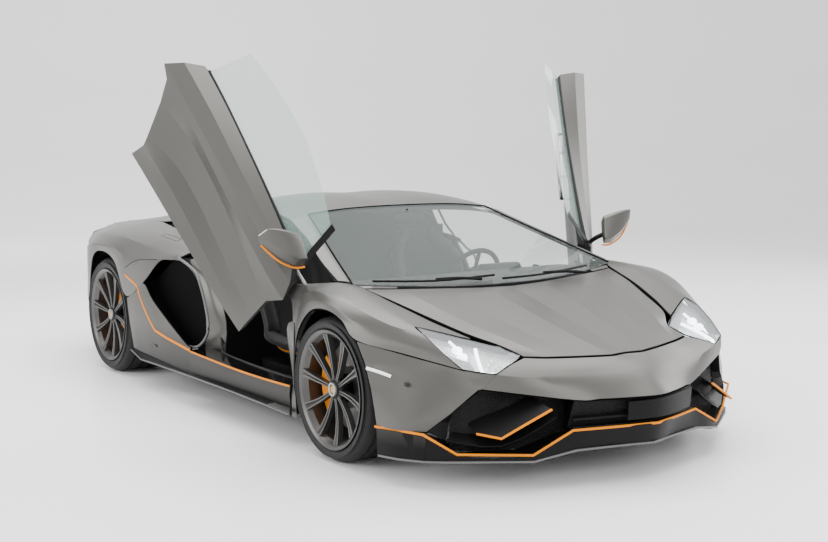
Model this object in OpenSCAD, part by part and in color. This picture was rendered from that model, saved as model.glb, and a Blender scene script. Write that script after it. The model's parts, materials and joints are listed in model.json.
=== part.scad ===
// Low mid-engined supercar with raised scissor doors
// Millimetres, +Z up, nose towards -Y, car's left side towards +X,
// origin on the floor at the middle of the wheelbase.

/* [Body] */
// Distance between the axles
wheelbase = 2700; // [2450:10:2950]
// Bumper to bumper length
body_length = 4868; // [4400:10:5300]
// Width over the rear arches
body_width = 2070; // [1800:10:2400]
// Height of the roof above the floor
body_height = 1136; // [950:10:1350]
// Thickness of the outer panels
panel_t = 4; // [3:0.5:8]

/* [Wheels] */
// Outer diameter of the front tyres
front_tyre_d = 661; // [560:1:720]
// Tread width of the front tyres
front_tyre_w = 250; // [200:5:290]
// Front rim diameter over its flange
front_rim_d = 543; // [440:1:580]
// Outer diameter of the rear tyres
rear_tyre_d = 711; // [600:1:770]
// Tread width of the rear tyres
rear_tyre_w = 330; // [270:5:360]
// Rear rim diameter over its flange
rear_rim_d = 568; // [460:1:620]
// Half distance between the front tyre middles
front_track = 860; // [760:5:880]
// Half distance between the rear tyre middles
rear_track = 835; // [760:5:860]
// Spokes in each wheel
spokes = 10; // [6:1:12]
// Brake disc diameter
disc_d = 396; // [300:2:410]

/* [Doors] */
// Angle the scissor doors stand open
door_open = 63.2; // [30:0.2:70]
// Thickness of the side glass
glass_t = 5; // [4:0.5:8]

/* [Cabin] */
// Width of each seat
seat_w = 470; // [400:5:520]
// Steering wheel diameter
wheel_d = 350; // [310:5:380]

/* [Engine] */
// Length of the engine block
engine_l = 820; // [600:10:900]
// Width of the engine block
engine_w = 560; // [420:10:620]
// Height of the engine block
engine_h = 460; // [360:10:480]

/* [Hidden] */
$fn = 48;
kx = body_width / 2070;
kz = body_height / 1136;
ky = wheelbase / 2700;
ko = (body_length - wheelbase) / 2168;
grey = [0.47, 0.46, 0.44];
black = [0.05, 0.05, 0.05];
dark = [0.16, 0.16, 0.16];
fr = front_tyre_d / 2;
rr = rear_tyre_d / 2;
fy0 = -wheelbase / 2;
ry0 = wheelbase / 2;
tf = front_track * kx;
tr = rear_track * kx;
kingpin = 800 * kx;
// Door hinge: a point on its axis and the axis itself, left side
hinge_p = fit([900, -956, 712]);
hinge_a = [0.884, -0.197, -0.423];

// Every net point is drawn for the nominal car and then fitted to the sizes above
function fy(y) = abs(y) <= 1350 ? y * ky : sign(y) * (wheelbase / 2 + (abs(y) - 1350) * ko);
function fit(p) = [p[0] * kx, fy(p[1]), p[2] * kz];
function unit(v) = v / max(norm(v), 0.0001);
function cr(a, b, c, d, t) = 0.5 * (2 * b + (c - a) * t + (2 * a - 5 * b + 4 * c - d) * t * t
    + (3 * b - a - 3 * c + d) * t * t * t);
function smooth(r, k) = concat(
    [for (i = [0:len(r) - 2]) for (j = [0:k - 1])
        cr(r[max(i - 1, 0)], r[i], r[i + 1], r[min(i + 2, len(r) - 1)], j / k)],
    [r[len(r) - 1]]);
function whole(rows) = [for (r = rows) concat(
    [for (i = [len(r) - 1:-1:1]) [-r[i][0], r[i][1], r[i][2]]], r)];
function normal_at(g, i, j) = unit(cross(
    g[min(i + 1, len(g) - 1)][j] - g[max(i - 1, 0)][j],
    g[i][min(j + 1, len(g[0]) - 1)] - g[i][max(j - 1, 0)]));

// Closed solid between two nets of the same size, outer side first
module slab(g, h) {
    m = len(g);
    n = len(g[0]);
    top = [for (r = g) each r];
    low = [for (r = h) each r];
    s = m * n;
    up = [for (i = [0:m - 2]) for (j = [0:n - 2])
        each [[i * n + j, i * n + j + 1, (i + 1) * n + j],
              [i * n + j + 1, (i + 1) * n + j + 1, (i + 1) * n + j]]];
    down = [for (f = up) [f[2] + s, f[1] + s, f[0] + s]];
    sides = concat(
        [for (j = [0:n - 2]) each [[j + 1, j, s + j], [j + 1, s + j, s + j + 1]]],
        [for (j = [0:n - 2]) let (a = (m - 1) * n + j)
            each [[a, a + 1, s + a], [a + 1, s + a + 1, s + a]]],
        [for (i = [0:m - 2]) let (a = i * n, b = (i + 1) * n)
            each [[a, b, s + a], [b, s + b, s + a]]],
        [for (i = [0:m - 2]) let (a = i * n + n - 1, b = (i + 1) * n + n - 1)
            each [[b, a, s + a], [b, s + a, s + b]]]);
    polyhedron(concat(top, low), concat(up, down, sides));
}

function finer(rows, k) = [for (r = rows) smooth([for (p = r) fit(p)], k)];
function inset(g, t) = [for (i = [0:len(g) - 1]) [for (j = [0:len(g[0]) - 1])
    g[i][j] - t * normal_at(g, i, j)]];

// Thin closed shell that thickens inwards from a net of rows
module skin(rows, t = panel_t, k = 2) {
    g = finer(rows, k);
    slab(g, inset(g, t));
}

module pair() {
    children();
    mirror([1, 0, 0]) children();
}

// Box between two nominal corners
module block(a, b) {
    translate(fit(a)) cube(fit(b) - fit(a));
}

// Open tray or box: outer corners, wall, open on top
module tub_box(a, b, w = 5) {
    p = fit(a);
    q = fit(b);
    difference() {
        translate(p) cube(q - p);
        translate(p + [w, w, w]) cube(q - p - [2 * w, 2 * w, 0]);
    }
}

module swing_open() {
    translate(hinge_p) rotate(a = door_open, v = hinge_a) translate(-hinge_p) children();
}

// ---------- nets, left side: rows of [x, y, z] ----------
bonnet_net = [
    [[0, -2204, 525], [0, -2050, 568], [0, -1850, 622], [0, -1650, 674], [0, -1500, 710], [0, -1410, 734]],
    [[90, -2213, 524], [130, -2050, 570], [150, -1850, 625], [165, -1650, 679], [175, -1495, 716], [180, -1400, 738]],
    [[240, -2174, 528], [290, -2035, 568], [340, -1835, 624], [365, -1640, 680], [385, -1480, 722], [395, -1374, 747]],
    [[383, -2127, 532], [420, -2015, 562], [500, -1830, 618], [555, -1630, 676], [590, -1460, 726], [600, -1330, 754]],
    [[474, -2094, 539], [492, -1972, 566], [584, -1846, 612], [654, -1640, 670], [708, -1460, 720], [746, -1284, 760]]];

screen_net = whole([
    [[0, -1393, 751], [270, -1380, 755], [540, -1325, 766], [788, -1232, 783]],
    [[0, -1080, 868], [250, -1070, 869], [490, -1030, 868], [716, -965, 872]],
    [[0, -765, 974], [230, -758, 972], [440, -738, 966], [641, -700, 961]],
    [[0, -441, 1080], [210, -441, 1078], [400, -439, 1070], [568, -436, 1053]]]);

roof_net = whole([
    [[0, -440, 1081], [220, -440, 1079], [400, -438, 1071], [568, -436, 1053], [672, -425, 1030]],
    [[0, -300, 1110], [220, -300, 1112], [400, -300, 1100], [560, -290, 1078], [661, -280, 1050]],
    [[0, -120, 1128], [220, -120, 1133], [400, -120, 1122], [560, -110, 1094], [657, -100, 1060]],
    [[0, 60, 1130], [220, 60, 1136], [400, 60, 1122], [560, 70, 1092], [660, 70, 1052]],
    [[0, 250, 1118], [220, 250, 1124], [400, 250, 1108], [560, 240, 1076], [672, 225, 1031]],
    [[0, 440, 1094], [220, 440, 1100], [400, 440, 1084], [555, 430, 1052], [668, 400, 1008]],
    [[0, 600, 1066], [220, 600, 1070], [400, 600, 1056], [545, 590, 1026], [650, 560, 985]]]);

pillar_net = [
    [[785, -1221, 787], [716, -965, 872], [641, -700, 961], [568, -436, 1053]],
    [[808, -1198, 794], [742, -950, 878], [670, -690, 966], [600, -433, 1048]],
    [[831, -1170, 795], [782, -925, 868], [716, -680, 951], [672, -425, 1030]]];

wing_net = [
    [[596, -1885, 597], [632, -1795, 624], [668, -1700, 652], [722, -1500, 710], [770, -1256, 772],
     [836, -1184, 788], [858, -1080, 777], [880, -960, 764], [908, -832, 752]],
    [[806, -1768, 655], [816, -1712, 673], [826, -1650, 692], [842, -1500, 737], [850, -1350, 775],
     [862, -1200, 786], [880, -1080, 776], [898, -960, 758], [918, -838, 740]],
    [[812, -1860, 622], [858, -1775, 645], [900, -1700, 665], [950, -1560, 712], [968, -1400, 752],
     [966, -1230, 760], [955, -1100, 744], [945, -1010, 712], [944, -932, 668]],
    [[796, -1960, 565], [880, -1815, 592], [945, -1690, 615], [992, -1560, 672], [1010, -1400, 722],
     [1006, -1230, 722], [986, -1090, 668], [962, -1010, 600], [951, -950, 590]],
    [[768, -2050, 507], [888, -1822, 550], [1000, -1608, 592], [1008, -1500, 664], [1012, -1380, 697],
     [1008, -1230, 680], [992, -1090, 590], [970, -1000, 480], [958, -962, 300]]];

wing_foot_net = [
    [[951, -948, 590], [950, -886, 543], [948, -935, 315], [962, -944, 240], [962, -950, 131]],
    [[958, -972, 584], [972, -990, 460], [962, -966, 300], [958, -976, 230], [958, -985, 131]]];

corner_net = [
    [[765.2, -2053, 501.6], [825.6, -1940.6, 522.8], [886.5, -1825.6, 544], [1000, -1610.6, 587]],
    [[735, -2083, 455], [850, -1935, 475], [950, -1790, 495], [1011, -1692, 508]],
    [[712, -2092, 421], [868, -1950, 400], [955, -1822, 395], [1008, -1735, 400]],
    [[800, -2020, 320], [890, -1950, 315], [955, -1850, 305], [998, -1745, 310]],
    [[884, -1966, 245.6], [925, -1915, 243.6], [960, -1850, 241.6], [988, -1745, 241.6]]];
cheek_net = [
    [[634, -2127, 476], [705, -2089, 488], [774, -2040, 499]],
    [[662, -2115, 451], [703, -2098, 452], [743, -2072, 455]],
    [[690, -2101, 423], [705, -2094, 421], [722, -2081, 421]]];
lamp_net = [
    [[486, -2087, 539], [504, -1969, 562], [603, -1890, 590], [702, -1828, 620.5], [801.5, -1775, 650.5]],
    [[520, -2104, 527], [580, -2030, 538], [660, -1955, 568], [738, -1897, 600], [808, -1862, 620.8]],
    [[584, -2114, 510], [640, -2070, 516], [700, -2020, 532], [753, -1982, 551], [791.8, -1961.5, 563.5]],
    [[642, -2125, 489], [680, -2104, 495], [712, -2086, 500], [740, -2068, 505], [761, -2053, 510]]];

nose_net = whole([
    [[0, -2212, 518], [92, -2221, 517], [240, -2182, 520], [383, -2135, 524], [478, -2102, 532]],
    [[0, -2258, 498], [110, -2260, 492], [260, -2226, 492], [420, -2170, 496], [560, -2114, 512]],
    [[0, -2318, 460], [120, -2312, 452], [280, -2266, 448], [450, -2204, 455], [644, -2127, 482]],
    [[0, -2424, 374], [130, -2384, 372], [250, -2330, 370], [350, -2280, 368], [698, -2101, 424]]]);

lip_net = whole([
    [[0, -2412, 250], [180, -2350, 244], [359, -2280, 238], [536, -2232, 152], [790, -2046, 148],
     [884, -1966, 239], [960, -1850, 235], [988, -1745, 235]],
    [[0, -2384, 156], [180, -2332, 154], [352, -2290, 152], [536, -2238, 120], [800, -2046, 116],
     [892, -1962, 114], [952, -1856, 112], [984, -1745, 110]]]);

door_net = [
    [[903, -832, 756], [880, -700, 776], [856, -450, 796], [838, -200, 812], [826, 50, 826], [822, 268, 832]],
    [[916, -830, 742], [915, -700, 744], [910, -450, 756], [908, -200, 770], [912, 50, 788], [922, 310, 800]],
    [[930, -880, 705], [946, -700, 700], [956, -450, 706], [965, -200, 718], [978, 60, 732], [992, 344, 742]],
    [[947, -930, 631], [958, -760, 632], [964, -480, 648], [970, -220, 670], [976, 40, 692], [982, 280, 704]],
    [[948, -886, 545], [944, -740, 560], [936, -480, 588], [934, -220, 610], [946, 0, 620], [975, 215, 600]],
    [[944, -905, 430], [946, -740, 440], [940, -480, 462], [938, -240, 480], [956, -50, 480], [988, 120, 440]],
    [[944, -918, 360], [958, -740, 370], [968, -480, 388], [975, -240, 402], [986, -60, 408], [994, 98, 402]],
    [[942, -928, 315], [962, -740, 316], [976, -480, 318], [990, -220, 322], [1000, -40, 325], [1011, 98, 328]]];

quarter_net = [
    [[800, 306, 846], [790, 500, 872], [770, 720, 900], [740, 960, 918], [712, 1150, 928], [690, 1350, 928],
     [672, 1550, 918], [655, 1740, 904], [622, 2000, 882], [602, 2200, 860], [578, 2370, 838]],
    [[868, 312, 828], [885, 500, 844], [890, 720, 864], [880, 960, 882], [868, 1150, 892], [848, 1350, 896],
     [820, 1550, 890], [775, 1740, 884], [705, 2000, 864], [680, 2200, 834], [640, 2372, 814]],
    [[950, 320, 798], [965, 500, 802], [975, 720, 820], [980, 960, 842], [978, 1150, 854], [968, 1350, 856],
     [948, 1550, 850], [912, 1740, 832], [812, 2000, 824], [766, 2200, 804], [705, 2374, 784]],
    [[960, 326, 780], [1000, 500, 772], [1022, 720, 752], [1030, 960, 752], [1034, 1150, 792], [1034, 1350, 800],
     [1024, 1550, 782], [986, 1740, 744], [876, 2000, 752], [812, 2200, 742], [757, 2346, 732]],
    [[962, 332, 772], [1003, 500, 762], [1026, 712, 620], [1028, 985, 514], [1026, 1150, 698], [1026, 1350, 752],
     [1020, 1550, 698], [985, 1738, 430], [902, 2000, 420], [828, 2200, 420], [775, 2345, 420]]];

rocker_net = [
    [[1000, 130, 318], [1001, 190, 327], [1014, 380, 420], [1028, 578, 528], [1026, 711, 608],
     [1030, 830, 541], [1028, 965, 498]],
    [[1001, 130, 311], [1006, 220, 316], [1020, 420, 372], [1032, 560, 452], [1036, 680, 530],
     [1038, 820, 500], [1034, 938, 440]],
    [[1000, 130, 300], [1012, 260, 302], [1028, 460, 308], [1038, 620, 352], [1042, 740, 400],
     [1042, 830, 390], [1036, 908, 360]],
    [[1006, 130, 176], [1012, 260, 184], [1022, 460, 196], [1030, 620, 204], [1032, 740, 208],
     [1030, 830, 211], [1024, 888, 214]]];

sill_net = [
    [[925, -906, 286], [935, -700, 284], [940, -480, 284], [945, -290, 287], [950, -100, 292], [955, 130, 300]],
    [[966, -942, 281], [975, -700, 278], [980, -480, 278], [985, -290, 282], [992, -100, 290], [1000, 130, 300]],
    [[972, -942, 240], [980, -700, 240], [986, -480, 240], [992, -290, 243], [998, -100, 248], [1006, 130, 252]],
    [[965, -942, 166], [972, -700, 168], [980, -480, 170], [986, -290, 171], [994, -100, 172], [1006, 130, 176]]];

skirt_net = [
    [[964, -942, 165], [971, -700, 167], [979, -480, 169], [985, -290, 170], [993, -100, 171], [1005, 130, 174],
     [1014, 460, 188], [1018, 740, 199], [1014, 885, 205]],
    [[1000, -1000, 150], [1003, -749, 155], [1008, -438, 160], [1012, -290, 162], [1016, -100, 163],
     [1022, 130, 165], [1030, 460, 164], [1036, 745, 162], [1038, 890, 198]]];
post_net = [
    [[912, 316, 780], [915, 200, 665], [908, 120, 480], [905, 152, 274.4]],
    [[880, 250, 786], [880, 140, 665], [876, 50, 470], [872, 88, 274.4]],
    [[850, 222, 788], [850, 105, 660], [845, 0, 460], [842, 28, 274.4]]];
grille_net = whole([
    [[0, 2424, 775], [300, 2416, 775], [560, 2394, 769], [664, 2377, 757], [749.5, 2346, 730]],
    [[0, 2424, 620], [300, 2416, 620], [560, 2394, 615], [676, 2370, 600], [759.5, 2344, 580]],
    [[0, 2414, 471], [300, 2408, 471], [560, 2386, 463], [686, 2365, 452], [766.5, 2342, 426]]]);
tail_lamp_net = [
    [[250, 2423.6, 742], [420, 2412.6, 742], [560, 2399.6, 738], [690, 2379.8, 724]],
    [[250, 2423.6, 700], [420, 2412.6, 698], [560, 2399.6, 694], [700, 2377.8, 684]]];
cowl_front = [[0, -1396, 724], [200, -1388, 727], [440, -1352, 734], [760, -1262, 746]];

glass_net = [
    [[872, -806, 775], [856, -600, 792], [842, -380, 803], [828, -120, 816], [818, 60, 826], [812, 230, 833]],
    [[810, -775, 868], [796, -600, 884], [780, -400, 900], [766, -160, 912], [758, 50, 916], [756, 222, 924]],
    [[750, -728, 950], [728, -620, 978], [704, -440, 1014], [684, -240, 1040], [684, 60, 1034], [694, 216, 1014]]];
door_in_net = [
    [[846, -820, 758], [832, -700, 772], [818, -450, 788], [806, -200, 804], [796, 50, 818], [790, 240, 824]],
    [[842, -824, 742], [836, -700, 744], [830, -450, 752], [824, -200, 762], [822, 50, 776], [842, 188, 786]],
    [[850, -872, 705], [850, -700, 700], [846, -450, 702], [842, -200, 710], [842, 20, 716], [848, 138, 722]],
    [[862, -900, 626], [862, -750, 630], [858, -480, 640], [856, -220, 650], [856, 0, 662], [858, 98, 668]],
    [[866, -872, 545], [864, -740, 552], [860, -480, 570], [860, -220, 590], [866, -20, 596], [872, 62, 588]],
    [[868, -890, 430], [868, -740, 436], [866, -480, 452], [868, -240, 462], [880, -50, 462], [900, 80, 436]],
    [[872, -904, 360], [876, -740, 366], [880, -480, 380], [886, -240, 390], [896, -50, 394], [908, 68, 392]],
    [[880, -914, 322], [886, -740, 322], [892, -480, 324], [900, -220, 328], [910, -40, 330], [922, 78, 332]]];

buttress_net = [
    [[470, 640, 1044], [460, 900, 1020], [470, 1200, 988], [490, 1500, 948], [510, 1750, 914], [530, 2050, 880]],
    [[545, 592, 1025], [560, 900, 1006], [575, 1200, 970], [585, 1500, 934], [595, 1750, 908], [585, 2050, 882]],
    [[650, 562, 984], [676, 800, 962], [692, 1000, 946], [698, 1150, 932], [678, 1350, 927], [660, 1550, 917]]];

cover_net = whole([
    [[0, 618, 1066], [230, 618, 1070], [454, 646, 1046]],
    [[0, 900, 1030], [230, 900, 1034], [452, 900, 1020]],
    [[0, 1200, 982], [230, 1200, 988], [460, 1200, 984]],
    [[0, 1500, 934], [230, 1500, 942], [480, 1500, 942]],
    [[0, 1750, 902], [240, 1750, 906], [500, 1750, 908]],
    [[0, 2050, 866], [260, 2050, 868], [520, 2050, 874]]]);

tail_net = whole([
    [[0, 2420, 838], [300, 2412, 840], [560, 2388, 832], [640, 2376, 814], [705, 2380, 784]],
    [[0, 2432, 776], [300, 2424, 776], [560, 2402, 770], [668, 2388, 758], [757, 2356, 732]]]);

rear_low_net = whole([
    [[0, 2420, 470], [300, 2414, 470], [560, 2392, 462], [690, 2370, 450], [775, 2345.5, 421.5]],
    [[0, 2434, 400], [300, 2428, 400], [560, 2404, 392], [700, 2380, 376], [776, 2352, 360]],
    [[0, 2400, 330], [300, 2396, 330], [560, 2380, 320], [690, 2362, 300], [768, 2340, 280]]]);

// ---------- what the node list names ----------

// ---------- body ----------
module tub() color(dark) {
    block([-890, -957, 120], [890, 1000, 140]);
    block([-300, -2190, 150], [300, -957, 165]);
    block([-560, 1000, 150], [560, 2100, 165]);
    block([-300, -970, 120], [300, -957, 165]);
    block([-560, 999, 120], [560, 1010, 165]);
    pair() {
        block([880, -940, 139], [952, 160, 274]);
        block([951, -928, 172], [960.4, 160, 262]);
        block([260, -2190, 164], [300, -957, 330]);
        block([260, -1400, 329], [300, -1300, 620]);
        block([299, -1400, 600], [559.5, -1300, 620]);
        block([520, 1300, 164], [560, 1400, 620]);
        block([559, 1300, 600], [639.5, 1400, 620]);
        // hinge post of the door
        block([796, -956, 139], [836, -926, 742]);
    }
    pair() hinge_frame() cylinder(h = 66, r = 12);
}

// The door hinge line, starting in the post and running outwards
module hinge_frame() {
    translate(fit([828, -940, 746.5])) rotate(a = acos(hinge_a[2] / norm(hinge_a)),
        v = [-hinge_a[1], hinge_a[0], 0]) children();
}

module cabin_shell() color(grey) {
    skin(roof_net, panel_t, 1);
    pair() skin(pillar_net, panel_t, 2);
}

module windscreen() color([0.1, 0.12, 0.12, 0.5]) skin(screen_net, glass_t, 2);

module cabin_glass() color([0.1, 0.12, 0.12, 0.5]) pair() skin([
    [[672, 250, 1024], [667, 402, 1006], [650, 561, 984]],
    [[795, 312, 852], [785, 500, 878], [765, 714, 906]]], glass_t, 2);

// Scuttle panel: its rear flange lies 0.4 mm under the lower edge of the windscreen
module cowl() color(black) {
    s = inset(finer(screen_net, 2), -0.4);
    f = finer(whole([cowl_front]), 2)[0];
    up = [for (j = [0:12]) 0.94 * s[0][j] + 0.06 * s[1][j]];
    g = [for (r = [f, s[0], up]) concat([0.35 * r[2] + 0.65 * r[1]], [for (j = [2:10]) r[j]],
        [0.35 * r[10] + 0.65 * r[11]])];
    slab(inset(g, -panel_t), g);
    for (x = [-660, 624]) translate([x * kx, fy(-1262), 735 * kz]) rotate([0, 90, 0]) cylinder(h = 36, r = 8);
    pair() block([606, -1308, 727], [640, -1256, 751]);
}

module front_wings() color(grey) pair() {
    skin(wing_net, panel_t, 2);
    skin(wing_foot_net, panel_t, 1);
}

module front_bumper() color(grey) {
    skin(nose_net, panel_t, 2);
    pair() skin(corner_net, panel_t, 2);
    pair() skin(cheek_net, panel_t, 1);
}

module front_splitter() color(dark) skin(lip_net, panel_t, 2);

module intake_ducts() color(black) {
    pair() block([300.3, -2010, 170], [788, -1990, 412]);
    block([-330, -2210, 160], [330, -2190.3, 372]);
    // inner wall of each side intake and the slots behind the quarter glass
    pair() skin([
        [[912.5, 318.6, 780], [930, 480, 745], [930, 700, 650], [930, 860, 615]],
        [[915.5, 203.8, 665], [918, 380, 600], [914, 600, 540], [914, 800, 520]],
        [[908.5, 122.4, 480], [914, 300, 430], [920, 500, 400], [925, 760, 400]],
        [[905.5, 152.2, 293], [925, 260, 302], [940, 480, 302], [950, 760, 302]]], panel_t, 2);
    // floor of the slot between the haunch and the buttress, 0.4 mm under both edges
    q = inset(finer(quarter_net, 2), panel_t + 0.4)[0];
    b = inset(finer(buttress_net, 2), panel_t + 0.4)[2];
    g = [[b[0], b[1], b[2], b[4], b[6]], [q[4], q[5], q[6], q[7], q[8]]];
    pair() slab(g, inset(g, panel_t));
}

module headlamps() color([0.7, 0.72, 0.74]) pair() skin(lamp_net, 5, 2);

module bonnet() color(grey) {
    pair() skin(bonnet_net, panel_t, 2);
    pair() translate([650 * kx, fy(-1262), 735 * kz]) rotate([90, 0, 90]) difference() {
        linear_extrude(8) polygon([[-16, -14], [12, -14], [14, 8], [-2, 12], [-46, 16], [-62, 19], [-62, 2]]);
        translate([0, 0, -1]) cylinder(h = 10, r = 8.3);
    }
}

module rear_quarters() color(grey) pair() {
    skin(quarter_net, panel_t, 2);
    skin(buttress_net, panel_t, 2);
}

module side_sills() color(grey) pair() {
    skin(sill_net, panel_t, 1);
    skin(rocker_net, panel_t, 2);
}

module side_skirts() color(dark) pair() skin(skirt_net, 10, 1);

module door_posts() color(grey) pair() skin(post_net, 10, 1);

module rear_bumper() color(grey) {
    skin(tail_net, panel_t, 1);
    skin(rear_low_net, panel_t, 1);
}

module rear_grille() color(black) skin(grille_net, panel_t, 1);

module rear_diffuser() color(dark) {
    block([-560, 2100.5, 150], [560, 2390, 162]);
    for (x = [-450, -270, -90, 80, 260, 440]) block([x, 2150, 162], [x + 10, 2390, 290]);
}

module exhaust() color([0.3, 0.3, 0.3]) {
    translate(fit([0, 2428.3, 535])) rotate([-90, 0, 0]) difference() {
        cylinder(h = 16, d = 190, $fn = 6);
        translate([0, 0, 6]) cylinder(h = 12, d = 172, $fn = 6);
    }
}

module tail_lamps() color([0.5, 0.05, 0.05]) pair() skin(tail_lamp_net, 6, 1);

module rear_wing() color(grey) skin(whole([
    [[0, 2080, 857], [300, 2080, 859], [570, 2080, 861]],
    [[0, 2240, 848], [300, 2240, 850], [565, 2240, 848]],
    [[0, 2419, 838.1], [300, 2411, 840.1], [555, 2387, 832.6]]]), 12, 1);

module engine_cover() color(dark) {
    skin(cover_net, panel_t, 1);
    pair() translate([300 * kx, fy(622), 1040 * kz]) rotate([90, 0, 90]) difference() {
        linear_extrude(8) polygon([[-14, -14], [14, -14], [80, -6], [80, 13.5], [10, 22], [-12, 12]]);
        translate([0, 0, -1]) cylinder(h = 10, r = 8.3);
    }
}

module engine_block() color([0.4, 0.4, 0.4])
    translate([-engine_w / 2, fy(1010), 165 * kz]) cube([engine_w, engine_l, engine_h]);

module arch_liner(y0, zc, r, xin, xout) {
    translate([xin, y0, zc]) rotate([0, 90, 0]) difference() {
        cylinder(h = xout - xin, r = r + 4);
        translate([0, 0, 4]) cylinder(h = xout - xin, r = r);
        translate([80, -2 * r, -1]) cube([4 * r, 4 * r, xout - xin + 2]);
        for (x = [-90, 90]) translate([x - 16, -26, -1]) cube([32, 52, 8]);
    }
}

module wheel_liners() color(black) pair() {
    arch_liner(fy0, fr, fr + 55, 560 * kx, 940 * kx);
    arch_liner(ry0, rr, rr + 36, 640 * kx, 980 * kx);
}

// Solid of one outline in the side view, between two widths
module profile(x0, x1, pts) {
    translate([x0 * kx, 0, 0]) rotate([90, 0, 90]) linear_extrude((x1 - x0) * kx)
        polygon([for (p = pts) [fy(p[0]), p[1] * kz]]);
}

module dashboard() color(black) {
    difference() {
        union() {
            profile(-740, 740, [[-1175, 700], [-1180, 735], [-1060, 752], [-860, 742], [-815, 700],
                [-830, 688]]);
            profile(-550, 550, [[-1110, 540], [-1110, 692], [-828, 692], [-840, 600], [-900, 540]]);
            profile(270, 470, [[-900, 735], [-880, 770], [-790, 762], [-770, 700], [-800, 670], [-835, 670]]);
            // shroud round the steering column
            profile(310, 430, [[-980, 548], [-980, 686], [-812, 686], [-786, 650], [-796, 560], [-812, 548]]);
        }
        translate(fit([370, -600, 690])) rotate([-66, 0, 0]) translate([0, 0, -290]) cylinder(h = 170, r = 22.4);
    }
}

module centre_console() color(black)
    profile(-120, 120, [[-950, 140], [-950, 539.7], [-815, 539.7], [-760, 520], [-560, 440], [-100, 420], [60, 470],
        [60, 140]]);

module seat() {
    profile(210, 210 + seat_w / kx, [[-590, 180], [-600, 300], [-560, 335], [-200, 285], [-90, 300],
        [70, 800], [95, 900], [140, 910], [170, 880], [150, 620], [60, 180]]);
    for (x = [210, 150 + seat_w / kx]) profile(x, x + 60, [[-560, 140.3], [-580, 380], [-300, 350], [-190, 360],
        [-60, 760], [60, 790], [60, 140.3]]);
}

module seats() color(black) pair() seat();

module rear_bulkhead() color(black) {
    block([-640, 300, 140], [640, 320, 1010]);
    for (x = [-340, 320]) block([x, 319, 985], [x + 20, 650, 1005]);
    for (x = [-340, 280]) translate([x * kx, fy(622), 1040 * kz]) rotate([0, 90, 0])
        cylinder(h = 60, r = 8);
    for (x = [-340, 320]) block([x, 610, 1004], [x + 20, 634, 1046]);
}

module luggage_tub() color(black) tub_box([-420, -1980, 330.5], [420, -1480, 560], 5);

module suspension() color(dark) {
    for (m = [0, 1]) mirror([m, 0, 0]) {
        for (z = [fr - 90, fr + 90]) translate([300.5 * kx, fy0 - 18, z - 9]) cube([(827 - 300.5) * kx, 36, 18]);
        for (z = [rr - 90, rr + 90]) translate([560.5 * kx, ry0 - 18, z - 9]) cube([(790 - 560.5) * kx, 36, 18]);
    }
}

// ---------- doors ----------
module door_skin() skin(door_net, panel_t, 2);

// Door core and trim, 0.3 mm inside the skin, with the hinge arm; it starts behind the wing's edge
module door_inner() {
    a = inset(finer(door_net, 2), panel_t + 0.3);
    b = finer(door_in_net, 2);
    slab([for (r = a) [for (j = [1:10]) r[j]]], [for (r = b) [for (j = [1:10]) r[j]]]);
    hinge_frame() translate([0, 0, 24]) difference() {
        cylinder(h = 22, r = 24);
        translate([0, 0, -1]) cylinder(h = 24, r = 12.3);
    }
    block([852, -934, 716], [866, -750, 731]);
}

// Side glass, standing on the core's upper edge
module door_window() {
    g = finer(glass_net, 2);
    a = inset(finer(door_net, 2), panel_t + 0.3)[0];
    b = finer(door_in_net, 2)[0];
    foot = [for (j = [0:10]) let (i = max(j, 1)) 0.62 * a[i] + 0.38 * b[i] + [0, (j - i) * 20, 0.9]];
    h = [foot, g[1], g[2]];
    slab(h, inset(h, glass_t));
}

module door_mirror() {
    translate(fit([1045, -775, 862])) rotate([0, 0, -10]) scale([1.15, 0.8, 0.62]) sphere(r = 85);
    // arm from the door's shoulder, 0.4 mm off the skin
    s = finer(door_net, 2);
    up = 0.4 * unit([1, 0, 1]);
    a = 0.7 * s[0][0] + 0.2 * s[1][0] + 0.1 * s[0][1] + up;
    b = 0.2 * s[0][0] + 0.1 * s[1][1] + 0.7 * s[0][1] + up;
    c = 0.3 * s[0][0] + 0.5 * s[1][0] + 0.1 * s[0][1] + 0.1 * s[1][1] + up;
    d = 0.1 * s[1][0] + 0.4 * s[0][1] + 0.5 * s[1][1] + up;
    slab([[a, b], [fit([985, -815, 850]), fit([985, -775, 850])]],
        [[c, d], [fit([1000, -812, 832]), fit([1000, -778, 832])]]);
}

module door_left() color(grey) swing_open() door_skin();
module door_trim_left() color(black) swing_open() door_inner();
module door_glass_left() color([0.6, 0.7, 0.68, 0.4]) swing_open() door_window();
module mirror_left() color(grey) swing_open() door_mirror();
module door_right() mirror([1, 0, 0]) door_left();
module door_trim_right() mirror([1, 0, 0]) door_trim_left();
module door_glass_right() mirror([1, 0, 0]) door_glass_left();
module mirror_right() mirror([1, 0, 0]) mirror_left();

// ---------- running gear ----------
// Hub carrier with its caliper; x is the kingpin, d the disc, out the disc's inner face
module upright(x, y, z, out, d) {
    translate([x, y, z]) {
        cylinder(h = 161, r = 26, center = true);
        rotate([0, 90, 0]) cylinder(h = out - x - 0.5, r = 70);
    }
    // caliper around the disc, behind the axle
    translate([out - 14, y, z]) rotate([0, 90, 0]) rotate([0, 0, 62]) difference() {
        rotate_extrude(angle = 56) polygon([[d / 2 - 70, 0], [d / 2 + 18, 0], [d / 2 + 18, 68],
            [d / 2 - 70, 68]]);
        rotate([0, 0, -5]) rotate_extrude(angle = 66) polygon([[d / 2 - 80, 9], [d / 2 + 6, 9],
            [d / 2 + 6, 53], [d / 2 - 80, 53]]);
    }
    translate([out - 14, y + 40, z - 30]) cube([8.5, d / 2 - 90, 60]);
}

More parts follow.
